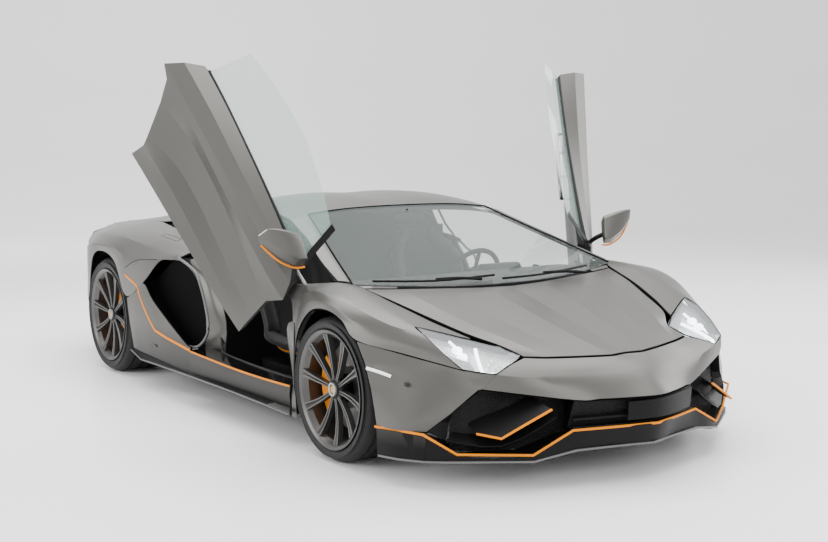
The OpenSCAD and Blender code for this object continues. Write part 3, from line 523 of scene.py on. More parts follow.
def grain(mat, scale, strength, kind="noise", color_mix=None, distance=0.0004):
    """Fine bump, and where asked a colour variation, from a procedural texture in object space."""
    nodes, links = mat.node_tree.nodes, mat.node_tree.links
    p = nodes["Principled BSDF"]
    coord = nodes.new("ShaderNodeTexCoord")
    if kind == "noise":
        tex = nodes.new("ShaderNodeTexNoise")
        tex.inputs["Detail"].default_value = 6.0
    else:
        tex = nodes.new("ShaderNodeTexVoronoi")
        tex.feature = kind
    tex.inputs["Scale"].default_value = scale
    links.new(coord.outputs["Object"], tex.inputs["Vector"])
    bump = nodes.new("ShaderNodeBump")
    bump.inputs["Strength"].default_value = strength
    bump.inputs["Distance"].default_value = distance
    links.new(tex.outputs[0], bump.inputs["Height"])
    links.new(bump.outputs["Normal"], p.inputs["Normal"])
    if color_mix:
        ramp = nodes.new("ShaderNodeValToRGB")
        for stop, color, place in zip(ramp.color_ramp.elements, color_mix, (0.35, 0.65)):
            stop.color = (*color, 1)
            stop.position = place
        links.new(tex.outputs[0], ramp.inputs["Fac"])
        links.new(ramp.outputs["Color"], p.inputs["Base Color"])
    return mat


def make_materials(paint):
    """Every finish of the car, made once."""
    if MATS:
        return
    grain(shader("paint", tuple(paint), rough=0.36, metal=0.6, coat=0.12, coat_rough=0.35), 900, 0.05,
          color_mix=([c * 0.94 for c in paint], [min(c * 1.06, 1) for c in paint]))
    # sill material: paint with painted shade darkening it towards the floor
    sill_with_painted_shade(paint)
    grain(shader("orange", (0.66, 0.20, 0.0), rough=0.45, specular=0.1), 500, 0.03)
    grain(shader("seal", (0.002, 0.002, 0.002), rough=0.8, specular=0.04), 200, 0.2)
    grain(shader("gloss_black", (0.004, 0.004, 0.0045), rough=0.12, coat=0.15), 400, 0.01)
    grain(shader("black", (0.004, 0.004, 0.0042), rough=0.45, specular=0.12), 300, 0.15)
    grain(shader("dark_grey", (0.012, 0.012, 0.012), rough=0.42, specular=0.25), 600, 0.06)
    grain(shader("edge_grey", (0.10, 0.10, 0.10), rough=0.4, metal=0.4), 600, 0.05)
    grain(shader("rubber", (0.007, 0.007, 0.0075), rough=0.6, specular=0.3), 260, 0.25)
    grain(shader("rim", (0.085, 0.083, 0.080), rough=0.36, metal=0.8), 700, 0.04)
    grain(shader("steel", (0.32, 0.32, 0.32), rough=0.35, metal=0.9), 300, 0.1)
    grain(shader("cast", (0.10, 0.10, 0.10), rough=0.6, metal=0.6), 200, 0.3)
    grain(shader("disc", (0.13, 0.128, 0.125), rough=0.32, metal=0.7), 90, 0.2, kind="F1")
    grain(shader("leather", (0.009, 0.009, 0.009), rough=0.48, sheen=0.05, specular=0.3), 420, 0.35,
          kind="F1")
    grain(shader("suede", (0.012, 0.0115, 0.0115), rough=0.9, sheen=0.15, specular=0.1), 900, 0.4)
    grain(shader("carpet", (0.006, 0.006, 0.006), rough=0.95, specular=0.05), 1200, 0.6)
    shader("screen", (0.12, 0.15, 0.14), rough=0.02, alpha=0.26, coat=1.0, coat_rough=0.02)
    shader("side_glass", (0.33, 0.47, 0.43), rough=0.02, alpha=0.24, coat=0.6, coat_rough=0.02)
    shader("dark_glass", (0.01, 0.012, 0.012), rough=0.03, coat=1.0, coat_rough=0.02)
    shader("lens", (0.85, 0.9, 0.92), rough=0.03, alpha=0.13, coat=1.0, coat_rough=0.02)
    shader("lamp_body", (0.30, 0.31, 0.32), rough=0.25, metal=0.6)
    shader("light", (0.90, 0.96, 1.0), rough=0.3, emit=6.0)
    shader("marker", (0.9, 0.9, 0.88), rough=0.3, emit=0.5)
    shader("red_lens", (0.32, 0.012, 0.012), rough=0.08, coat=1.0)
    shader("mirror", (0.8, 0.8, 0.8), rough=0.03, metal=1.0)
    grain(shader("cap", (0.42, 0.30, 0.09), rough=0.3, metal=0.6), 200, 0.05)
    mesh_like("grille_mesh")


def sill_with_painted_shade(paint):
    """Sill material: paint above, darkening to black towards the floor as painted shade."""
    mat = shader("painted_shade_sill", tuple(paint), rough=0.4, metal=0.35, specular=0.2)
    nodes, links = mat.node_tree.nodes, mat.node_tree.links
    coord = nodes.new("ShaderNodeTexCoord")
    split = nodes.new("ShaderNodeSeparateXYZ")
    reach = nodes.new("ShaderNodeMapRange")
    ramp = nodes.new("ShaderNodeValToRGB")
    # painted shade: black at 0.17 m rising to the paint colour at 0.40 m, standing in for the shade under the
    # car's flanks
    reach.inputs["From Min"].default_value = 0.17
    reach.inputs["From Max"].default_value = 0.40
    ramp.color_ramp.elements[0].color = (0.002, 0.002, 0.002, 1)
    ramp.color_ramp.elements[1].color = (*paint, 1)
    links.new(coord.outputs["Object"], split.inputs[0])
    links.new(split.outputs["Z"], reach.inputs["Value"])
    links.new(reach.outputs[0], ramp.inputs["Fac"])
    links.new(ramp.outputs["Color"], nodes["Principled BSDF"].inputs["Base Color"])


def mesh_like(name):
    """Black honeycomb: raised webs round cells darkened by painted shade."""
    mat = shader(name, (0.004, 0.004, 0.004), rough=0.5, specular=0.1)
    # the second, darker colour is painted shade in the cell centres
    return grain(mat, 75, 0.9, kind="DISTANCE_TO_EDGE",
                 color_mix=((0.006, 0.006, 0.006), (0.0008, 0.0008, 0.0008)), distance=0.006)


FINISH = {
    "body_paint": "paint", "dark_trim": "dark_grey", "black_plastic": "black", "screen_glass": "screen",
    "side_glass": "side_glass", "lamp_clear": "lens", "lamp_red": "red_lens", "tyre": "rubber", "rim": "rim",
    "leather": "leather", "steel": "steel", "cast": "cast", "exhaust": "steel"}


def paint_frame():
    """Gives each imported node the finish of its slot."""
    for part in frame["record"]["subparts"]:
        node = frame["nodes"].get(part["node"])
        if node is not None:
            node.data.materials.clear()
            node.data.materials.append(MATS[FINISH[part["material_slot"]]])


# ---------- helpers that shape one kind of piece ----------
def at(net, v, u, depth=0.0):
    """Point of a net at row v and column u, so far inside it."""
    g = np.array(net, float)
    i, j = min(int(v), len(g) - 2), min(int(u), len(g[0]) - 2)
    a, b = v - i, u - j
    p = (g[i, j] * (1 - a) * (1 - b) + g[i + 1, j] * a * (1 - b)
         + g[i, j + 1] * (1 - a) * b + g[i + 1, j + 1] * a * b)
    n = np.cross(g[i + 1, j] - g[i, j], g[i, j + 1] - g[i, j])
    return p - depth * n / max(np.linalg.norm(n), 1e-6)


def lifted(net, depth):
    """A net pushed in by some millimetres along its normals."""
    g = np.array(net, float)
    return g - unit(np.cross(np.gradient(g, axis=0), np.gradient(g, axis=1))) * depth


def solid_between(name, outer, inner, material, body, move, bevel):
    """Closed solid between two grids of the same size."""
    m, n = outer.shape[:2]
    s = m * n
    verts = move(np.concatenate([outer.reshape(-1, 3), inner.reshape(-1, 3)]))
    faces = grid_faces(m, n) + [tuple(s + i for i in f[::-1]) for f in grid_faces(m, n)]
    edge = [(0, j, 0, j + 1) for j in range(n - 1)]
    edge += [(i, n - 1, i + 1, n - 1) for i in range(m - 1)]
    edge += [(m - 1, j + 1, m - 1, j) for j in range(n - 1)[::-1]]
    edge += [(i + 1, 0, i, 0) for i in range(m - 1)[::-1]]
    for a, b, c, d in edge:
        p, r = a * n + b, c * n + d
        faces.append((p, r, s + r, s + p))
    return modifiers(add_mesh(name, verts, faces, material, body), 0, bevel)


def loft(name, loops, material, body="car", move=None, bevel=0.002, cap=True):
    """Skin through closed loops of equal length."""
    g = np.array(loops, float)
    m, n = g.shape[:2]
    verts = g.reshape(-1, 3)
    if move is not None:
        verts = move(verts)
    faces = [(i * n + j, (i + 1) * n + j, (i + 1) * n + (j + 1) % n, i * n + (j + 1) % n)
             for i in range(m - 1) for j in range(n)]
    if cap:
        faces += [tuple(range(n)), tuple((m - 1) * n + j for j in range(n))[::-1]]
    return modifiers(add_mesh(name, verts, faces, material, body), 0, bevel)


# ---------- the car, group by group ----------
def build_front():
    """Bonnet, wings, nose, corners and splitter."""
    m = MATS
    creased = [[[x, y, z + rise * (0 < j < 5)] for j, (x, y, z) in enumerate(r)]
               for r, rise in zip(BONNET, (0, 7, 0, 6, 0))]
    bonnet = surface("bonnet_panel", creased, m["paint"], "bonnet", k=6, kk=3, angle=2.6)
    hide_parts("bonnet")
    for k in (-1, 1):
        box_mesh("bonnet_hinge_" + ("left" if k > 0 else "right"), (k * 654 - 4, -1322, 722),
                 (k * 654 + 4, -1252, 748),
                 m["steel"], "bonnet", 0.001)
    wings = surface("front_wing_panels", WING, m["paint"], k=7, kk=4, soft=0.45)
    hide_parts("front_wings")
    surface("front_wing_feet", WING_FOOT, m["paint"], k=3, kk=2)
    nose = surface("nose_panel", whole(NOSE), m["paint"], k=5, kk=3, soft=0.3, both=False)
    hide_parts("front_bumper")
    corner = surface("bumper_corners", CORNER, m["paint"], k=5, kk=3)
    surface("bumper_cheeks", CHEEK, m["paint"], k=3, kk=2)
    lip = surface("splitter_face", whole(LIP), m["black"], k=4, kk=2, both=False)
    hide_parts("front_splitter")
    blade = [[[x * 1.006, y - 10, z + 1] for x, y, z in LIP[-1]],
             [[x * 0.97, y + 40, z - 1] for x, y, z in LIP[-1]]]
    surface("splitter_blade", whole(blade), m["edge_grey"], k=1, kk=1, both=False, thick=0.009)
    # the splitter ends use the sill material, so they carry its painted shade towards the floor
    surface("splitter_ends", lifted([LIP[0][5:], LIP[1][5:]], -2), m["painted_shade_sill"], k=2, kk=1, thick=0.003)
    edge = [[992, -1738, 239], [908, -1975, 238], [788, -2050, 152], [538, -2240, 152],
            [359, -2281, 240], [180, -2350, 245], [0, -2413, 250]]
    line = edge + [[-x, y, z] for x, y, z in edge[-2::-1]]
    tube("splitter_stripe", line, 5.6, m["orange"], smooth=1, sides=6)
    for name, net in (("bonnet", BONNET), ("wing", WING), ("corner", CORNER)):
        seal(name + "_seal", net, body="bonnet" if name == "bonnet" else "car")
    seal("nose_seal", whole(NOSE), both=False)
    # marker lamps and parking sensors
    ribbon("side_markers", [[1006, -1700, 486], [985, -1760, 476], [962, -1812, 463]], 13, m["marker"],
           [corner], lift=4.5)
    for i, c in enumerate(([884, -1862, 421], [-884, -1862, 421])):
        p = np.array(c, float)
        ring("sensor_%d" % i, [(0, 0), (8, 1), (10, 0), (11, -4)], p + [np.sign(c[0]) * 42, -14, 14],
             np.sign(c[0]), m["dark_grey"], "car", 24)
    # intake walls, canards, grilles and the blank plate
    back = [[[300, -2150, 430], [520, -2085, 440], [690, -2040, 420], [770, -1985, 330]],
            [[300, -2160, 160], [520, -2110, 150], [690, -2050, 150], [790, -1985, 160]]]
    wall = surface("intake_mesh", back, m["grille_mesh"], k=3, thick=0.006)
    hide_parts("intake_ducts")
    surface("intake_roof", [[[345, -2278, 366], [500, -2190, 402], [694, -2100, 424]],
                            [[330, -2150, 380], [510, -2090, 400], [690, -2044, 410]]], m["black"], k=3,
            thick=0.003)
    surface("intake_side", [[[706, -2094, 416], [800, -2020, 318], [880, -1966, 244]],
                            [[690, -2040, 410], [768, -1990, 320], [800, -1985, 200]]], m["black"], k=3,
            thick=0.003, outward=-1)
    surface("intake_floor", [[[359, -2274, 236], [536, -2228, 150], [790, -2042, 146], [878, -1966, 232]],
                             [[340, -2150, 200], [536, -2110, 146], [760, -1990, 142], [800, -1980, 200]]],
            m["black"], k=1, thick=0.003)
    surface("centre_grille", whole([[[0, -2372, 366], [180, -2330, 364], [345, -2270, 362]],
                                    [[0, -2330, 252], [180, -2300, 250], [350, -2230, 240]]]),
            m["grille_mesh"], k=3, both=False, thick=0.004)
    surface("blank_plate", [[[-132, -2372, 350], [0, -2400, 352], [150, -2368, 352], [312, -2304, 350]],
                            [[-140, -2376, 272], [0, -2402, 270], [140, -2374, 268], [290, -2316, 266]]],
            m["black"], k=3, both=False, thick=0.006)
    for z in (385, 300, 262):
        tube("grille_bar_%d" % z, [[-345, -2262, z - 20], [-180, -2330, z - 14], [0, -2362, z - 12],
                                   [180, -2330, z - 14], [345, -2262, z - 20]], 7, m["black"])
    canard = [[718, -2092, 238], [676, -2204, 234], [576, -2240, 288], [470, -2276, 342]]
    surface("canards", [canard, [[720, -2010, 280], [660, -2060, 300], [560, -2110, 340], [470, -2130, 380]]],
            m["black"], k=1, thick=0.005)
    tube("canard_stripes", canard, 5.2, m["orange"], smooth=1, sides=6, both=True)
    fin = [[820, -2020, 210], [640, -2160, 190], [420, -2250, 300]]
    surface("lower_fins", [fin, [[760, -1990, 240], [620, -2060, 240], [430, -2120, 330]]], m["black"], k=3,
            thick=0.005)


def build_lamps():
    """Headlamps with their light guides, and the tail lamps."""
    m = MATS
    lens = surface("headlamp_lenses", LAMP, m["lens"], k=5, kk=3, soft=0.5, thick=0.003)
    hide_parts("headlamps")
    surface("headlamp_bowls", lifted(LAMP, 30), m["lamp_body"], k=3, kk=2, thick=0.003)
    rim = [at(LAMP, 0, u, 3) for u in (0, 1, 2, 3, 4)] + [at(LAMP, v, 4, 3) for v in (1, 2, 3)]
    rim += [at(LAMP, 3, u, 3) for u in (3, 2, 1, 0)] + [at(LAMP, v, 0, 3) for v in (2, 1)]
    tube("headlamp_frames", rim + [rim[0]], 3.5, m["seal"], smooth=1, sides=6, both=True)
    guides = [[(0.55, 1.75), (1.6, 1.55), (2.75, 1.25), (2.8, 0.35)], [(0.5, 2.75), (1.3, 2.35), (2.2, 2.2)]]
    for i, path in enumerate(guides):
        tube("headlamp_guide_%d" % i, [at(LAMP, v, u, 14) for v, u in path], 8.0 - 2 * i, m["light"],
             both=True, smooth=4)
    spots = [(1.1, 2.45), (1.55, 2.3)]
    dots = [(v, u) for v in (1.1, 1.6, 2.1) for u in (0.35, 0.7, 1.05)]
    for i, (v, u) in enumerate(spots + dots):
        c = at(LAMP, v, u, 20)
        r = 24 if i < len(spots) else 5.5
        mat = m["light"] if i < len(spots) else m["marker"]
        for s in (-1, 1):
            ball("lamp_element_%d_%s" % (i, "left" if s > 0 else "right"), flip(c) if s < 0 else c,
                 (r, r, r * 0.7), mat)
    surface("headlamp_corners", lifted([LAMP[2][2:], LAMP[3][2:]], 7), m["gloss_black"], k=3, thick=0.002)
    tail = surface("tail_lamp_lenses", TAIL_LAMP, m["red_lens"], k=3, outward=-1, thick=0.006)
    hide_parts("tail_lamps")
    for i in range(3):
        x = 330 + 130 * i
        y = [2424, 2411, 2392][i]
        tube("tail_lamp_arms_%d" % i, [[x + 60, y - 4, 738], [x, y + 5, 721], [x + 60, y - 4, 704]], 5,
             m["red_lens"], smooth=1, sides=6, both=True)


def ball(name, centre, radii, material, body="car", rows=10, cols=16):
    """Ellipsoid."""
    verts, faces = [], []
    for i in range(rows + 1):
        a = math.pi * i / rows
        for j in range(cols):
            b = 2 * math.pi * j / cols
            verts.append((centre[0] + radii[0] * math.sin(a) * math.cos(b),
                          centre[1] + radii[1] * math.sin(a) * math.sin(b),
                          centre[2] + radii[2] * math.cos(a)))
    for i in range(rows):
        for j in range(cols):
            k = (j + 1) % cols
            faces.append((i * cols + j, (i + 1) * cols + j, (i + 1) * cols + k, i * cols + k))
    return add_mesh(name, verts, faces, material, body, angle=60)


def build_cabin_shell():
    """Roof, pillars, screens, cowl and wipers."""
    m = MATS
    roof = surface("roof_panel", whole(ROOF), m["paint"], k=5, kk=4, soft=1.0, both=False, outward=-1)
    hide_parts("cabin_shell")
    surface("pillar_panels", PILLAR, m["paint"], k=5, kk=3, soft=0.6)
    glass = surface("windscreen_glass", whole(SCREEN), m["screen"], k=5, kk=4, soft=1.0, both=False,
                    outward=-1, thick=0.005)
    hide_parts("windscreen")
    cab = surface("quarter_windows", [[[672, 250, 1026], [667, 402, 1008], [650, 561, 986]],
                                      [[797, 310, 850], [788, 500, 875], [768, 716, 902]]],
                  m["dark_glass"], k=4, kk=2, thick=0.005)
    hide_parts("cabin_glass")
    cowl = surface("cowl_panel", whole(COWL), m["black"], k=4, kk=2, both=False, outward=-1, thick=0.004)
    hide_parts("cowl")
    edge = [SCREEN[i][3] for i in range(4)]
    tube("screen_rubber", [np.array(p) + [3, 2, 2] for p in edge], 4.5, m["seal"], both=True)
    head = [[x, y + 1, z + 1] for x, y, z in SCREEN[3]]
    tube("screen_head_rubber", [[-x, y, z] for x, y, z in head[:0:-1]] + head, 3.5, m["seal"])
    for i, (a, b, c) in enumerate((([-700, -1262, 792], [-400, -1352, 782], [-60, -1352, 786]),
                                   ([-40, -1392, 772], [220, -1392, 776], [560, -1318, 790]))):
        tube("wiper_blade_%d" % i, [a, b, c], 6, m["black"], smooth=5, sides=6)
        tube("wiper_arm_%d" % i, [np.array(b) + [0, 4, 6], np.array(b) + [130, -6, 4],
                                  np.array(b) + [250, -18, -8]], 8,
             m["black"], smooth=4, sides=6)
    surface("washer_flaps", [[[600, -1322, 758], [680, -1299, 762], [752, -1274, 764]],
                             [[596, -1308, 765], [680, -1280, 770], [764, -1246, 773]]], m["paint"], k=2,
            outward=-1)
    seal("roof_seal", whole(ROOF), both=False, depth=-10)
    # headlining and inner pillars
    surface("headlining", [[[x, y, z - 34] for x, y, z in r] for r in whole(ROOF)], m["suede"], k=3, kk=2,
            soft=1, both=False, thick=0.004)
    surface("pillar_trim", lifted(PILLAR, 16), m["suede"], k=3, thick=0.003)
    surface("screen_shelf", whole([[[0, -1386, 742], [300, -1366, 744], [620, -1296, 752], [770, -1200, 764]],
                                   [[0, -1150, 742], [300, -1150, 744], [620, -1150, 742],
                                    [760, -1120, 740]]]),
            m["black"], k=3, both=False, thick=0.004)


def build_sides():
    """Rear quarters, rockers, sills, posts and the side intakes."""
    m = MATS
    quarter = surface("quarter_panels", QUARTER, m["paint"], k=6, kk=4, soft=0.35)
    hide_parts("rear_quarters")
    surface("buttress_panels", BUTTRESS, m["paint"], k=5, kk=3, soft=0.3)
    # the rocker and sill panels use the sill material with its painted shade towards the floor
    rocker = surface("rocker_panels", ROCKER, m["painted_shade_sill"], k=5, kk=2)
    sill = surface("sill_panels", SILL[1:], m["painted_shade_sill"], k=3, kk=2)
    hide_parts("side_sills")
    surface("sill_tops", [[[x - 70, y, z + 4] for x, y, z in SILL[0]], SILL[0], SILL[1]], m["gloss_black"],
            k=3, kk=1)
    skirt = surface("skirt_blades", SKIRT, m["black"], k=2, thick=0.009)
    tube("skirt_edges", [np.array(q) + [3, 0, 4] for q in SKIRT[1]], 5, m["edge_grey"], both=True, smooth=1,
         sides=6)
    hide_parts("side_skirts")
    post = surface("door_posts_panel", POST, m["paint"], k=3, kk=2, soft=0.5, thick=0.008)
    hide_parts("door_posts")
    surface("side_intake_walls", DUCT, m["seal"], k=3, kk=2, soft=0.5)
    frame_line = [[960, 349, 787], [940, 240, 745], [938, 151, 701], [930, 80, 560], [942, 20, 420],
                  [962, 90, 330], [990, 165, 312]]
    tube("intake_frames", frame_line, 8, m["edge_grey"], both=True, smooth=4)
    bead = [[880, -905, 330], [882, -905, 296], [890, -850, 284], [890, -400, 288], [880, -60, 296],
            [862, 20, 330],
            [838, 100, 560], [836, 210, 800], [775, 230, 900], [690, 210, 1022]]
    tube("door_seals", bead, 7, m["rubber"], both=True, smooth=4)
    for name, net in (("quarter", QUARTER[:4]), ("buttress", BUTTRESS), ("rocker", ROCKER[:3])):
        seal(name + "_seal", net)
    slot_floor = [[[651, 566, 972], [676, 800, 945], [692, 1000, 928], [698, 1140, 918]],
                  [[771, 722, 884], [757, 850, 892], [741, 960, 902], [713, 1140, 914]]]
    surface("slot_floors", slot_floor, m["seal"], k=2, thick=0.003)
    stripe = [[1034, 985, 640], [1036, 801, 590], [1036, 640, 440], [1032, 541, 362], [1022, 400, 335],
              [1003, 129, 299]]
    ribbon("rear_stripes", stripe, 14, m["orange"], [rocker, quarter], lift=1.0, smooth=0, k=8)
    ribbon("sill_stripes", [[1000, 128, 297], [992, -100, 287], [985, -290, 279], [980, -480, 275],
                            [975, -700, 275], [966, -938, 278]], 14, m["orange"], [sill], lift=1.0, k=6)
    ribbon("quarter_seams", [[1040, 978, 680], [1030, 800, 740], [1008, 540, 764]], 2.6, m["seal"],
           [quarter], lift=0.6,
           k=6)
    flap = [[830, 801, 852], [862, 801, 846], [866, 690, 852], [862, 587, 840], [830, 587, 856],
            [830, 801, 852]]
    ribbon("fuel_flap_line", flap, 2.2, m["seal"], [quarter], lift=0.5, smooth=0, both=False, move=flip, k=6)
    surface("sill_ends", [[[962, -936, 160], [970, -840, 162], [972, -800, 164]],
                          [[1000, -998, 150], [1002, -860, 154], [1003, -780, 156]]], m["paint"], k=1,
            thick=0.012, outward=-1)
    ribbon("sill_badge_blank", [[1035, 590, 276], [1034, 510, 274]], 12, m["dark_grey"], [rocker], lift=0.8,
           k=2)


def build_rear():
    """Deck, engine cover, spoiler, tail, grille, diffuser and exhaust."""
    m = MATS
    cover = surface("engine_cover_frame", whole(COVER), m["dark_glass"], "engine_cover", k=4, kk=3,
                    soft=0.2, both=False, outward=-1)
    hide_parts("engine_cover")
    for i in range(6):
        t = (i + 0.5) / 6
        y = 700 + 1230 * t
        z = 1060 - 172 * t
        verts = whole([[[0, y, z + 4], [240, y, z + 6], [430, y + 10, z - 4]],
                       [[0, y + 110, z - 8], [240, y + 110, z - 6], [420, y + 112, z - 14]]])
        surface("engine_slat_%d" % i, verts, m["gloss_black"], "engine_cover", k=3, both=False, outward=-1,
                thick=0.005)
    for s in (-1, 1):
        box_mesh("cover_hinge_" + ("left" if s > 0 else "right"), (s * 304 - 4, 610, 1026),
                 (s * 304 + 4, 700, 1050),
                 m["steel"], "engine_cover", 0.001)
    spoiler = surface("spoiler_blade", whole(SPOILER), m["paint"], k=3, kk=3, soft=1, both=False,
                      outward=-1, thick=0.012)
    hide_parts("rear_wing")
    tail = surface("tail_panel", whole(TAIL), m["paint"], k=4, kk=2, both=False, outward=-1)
    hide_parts("rear_bumper")
    surface("rear_low_panel", whole(REAR_LOW), m["paint"], k=4, kk=3, soft=0.4, both=False, outward=-1)
    mesh = surface("tail_grille", whole(GRILLE), m["grille_mesh"], k=4, kk=2, both=False, outward=-1)
    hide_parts("rear_grille")
    for z in (655, 560, 510):
        tube("tail_bar_%d" % z, [[-700, 2378, z], [-380, 2418, z], [0, 2428, z], [380, 2418, z],
                                 [700, 2378, z]], 6,
             m["black"])
    floor = box_mesh("diffuser_floor", (-560, 2101, 150), (560, 2390, 162), m["dark_grey"])
    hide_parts("rear_diffuser")
    for i, x in enumerate((-450, -270, -90, 80, 260, 440)):
        prism("diffuser_fin_%d" % i, [(2150, 163), (2390, 163), (2390, 230), (2384, 290), (2150, 200)], x,
              x + 10, m["dark_grey"])
    hexa = [(math.cos(a), math.sin(a)) for a in np.arange(6) * math.pi / 3]
    loops = [[(94 * x * f, y, 535 + 94 * z * f) for x, z in hexa]
             for f, y in ((0.99, 2428), (1.0, 2440), (0.98, 2445), (0.9, 2444), (0.88, 2430), (0.86, 2380))]
    pipe = loft("exhaust_outlet", loops, m["steel"], bevel=0.001, cap=False)
    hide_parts("exhaust")
    for s in (-1, 1):
        ring("exhaust_pipe_" + ("left" if s > 0 else "right"), [(1, 0), (30, 0), (32, 2), (30, 4)],
             (s * 36, 2412, 535), 1, m["steel"], "car", 24)
    seal("tail_seal", whole(TAIL), both=False, depth=-8)
    seal("rear_low_seal", whole(REAR_LOW), both=False, depth=-8)


def build_doors():
    """Both scissor doors: skin, core, glass, mirror, handle and rubbers."""
    m = MATS
    for side, tag in ((1, "left"), (-1, "right")):
        body = "door_" + tag
        mv = swing if side > 0 else swing_right

        def panel(name, net, mat, outward=1, **kw):
            return surface(name + "_" + tag, net, mat, body, both=False, move=mv, outward=outward * side,
                           **kw)

        skin = panel("door_skin", DOOR, m["paint"], k=6, kk=4, soft=0.0, angle=5.0)
        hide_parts("door_" + tag)
        outer, inner = refine(lifted(DOOR, 6), 4), refine(DOOR_IN, 4)
        core = solid_between("door_core_" + tag, outer if side > 0 else outer[:, ::-1],
                             inner if side > 0 else inner[:, ::-1],
                             m["leather"], body, move=mv, bevel=0.004)
        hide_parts("door_trim_" + tag)
        glass = panel("door_window", GLASS, m["side_glass"], k=5, kk=3, soft=0.8, outward=-1, thick=0.004)
        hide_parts("door_glass_" + tag)
        tube("window_base_rubber_" + tag, [np.array(p) + [4, 0, 3] for p in GLASS[0]], 7, m["rubber"], body,
             move=mv)
        bar = [[[x, y - 17, z], [x + 5, y - 17, z], [x + 5, y + 17, z], [x, y + 17, z]]
               for x, y, z in ((902, -846, 786), (846, -806, 842), (752, -748, 962))]
        loft("window_bar_" + tag, bar if side > 0 else [q[::-1] for q in bar], m["black"], body, move=mv,
             bevel=0.001)
        tube("door_edge_seal_" + tag, [at(DOOR_IN, v, 5, -6) for v in range(8)], 6, m["rubber"], body,
             move=mv)
        # housing of the mirror, lofted outwards from its arm
        loops = []
        for x, pts in ((962, [(-862, 838), (-846, 880), (-740, 910), (-716, 896), (-722, 838), (-800, 824)]),
                       (1010, [(-846, 818), (-838, 872), (-722, 912), (-700, 900), (-706, 822), (-790, 806)]),
                       (1075, [(-790, 804), (-785, 860), (-690, 905), (-672, 893), (-676, 806), (-745, 797)]),
                       (1130, [(-700, 800), (-700, 838), (-664, 882), (-656, 872), (-656, 806),
                               (-672, 797)])):
            loops.append([(x, y, z) for y, z in (pts if side > 0 else pts[::-1])])
        housing = loft("mirror_housing_" + tag, loops, m["paint"], body, move=mv, bevel=0.008)
        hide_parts("mirror_" + tag)
        sub = housing.modifiers.new("soft", "SUBSURF")
        sub.levels = sub.render_levels = 2
        tube("mirror_stripe_" + tag, [(958, -866, 836), (1008, -849, 815), (1076, -792, 801),
                                      (1128, -700, 797)], 5.0,
             m["orange"], body, move=mv)
        tube("mirror_arm_" + tag, [(905, -812, 752), (930, -806, 800), (985, -790, 832)], 13, m["black"],
             body, move=mv)
        face = [[(970, -714, 888), (1050, -686, 884), (1122, -656, 866)],
                [(970, -720, 842), (1050, -690, 816), (1122, -655, 808)]]
        panel("mirror_glass", face, m["mirror"], k=2, outward=-1, thick=0.003)
        # inner trim: strip and grip
        ribbon("door_trim_stripe_" + tag, [at(DOOR_IN, 1.4, 4.6), at(DOOR_IN, 3.0, 4.2),
                                           at(DOOR_IN, 4.2, 2.8),
                                           at(DOOR_IN, 3.9, 1.2)], 16, m["orange"], [core], body, lift=2.0,
               both=False, move=mv, k=8)
        grip = [at(DOOR_IN, 2.0, 3.6, 46), at(DOOR_IN, 2.0, 2.4, 52), at(DOOR_IN, 3.2, 2.1, 50),
                at(DOOR_IN, 3.6, 3.4, 46)]
        tube("door_grip_" + tag, grip + [grip[0]], 11, m["lamp_body"], body, move=mv, smooth=1, sides=8)
        for i, (v, u) in enumerate(((2.0, 3.6), (3.6, 3.4), (2.0, 2.4), (3.2, 2.1))):
            tube("door_grip_foot_%d_%s" % (i, tag), [at(DOOR_IN, v, u, -4), at(DOOR_IN, v, u, 48)], 8,
                 m["black"], body, move=mv, smooth=1)
        tube("hinge_arm_" + tag, [(859, -944, 730), (859, -860, 726), (858, -760, 722)], 10, m["steel"],
             body, move=mv, smooth=2)
        ends = [np.array([850.0, -945, 736]), np.array([869.0, -949, 727])]
        tube("hinge_barrel_" + tag, ends, 22, m["steel"], body, move=mv, smooth=1, sides=16)


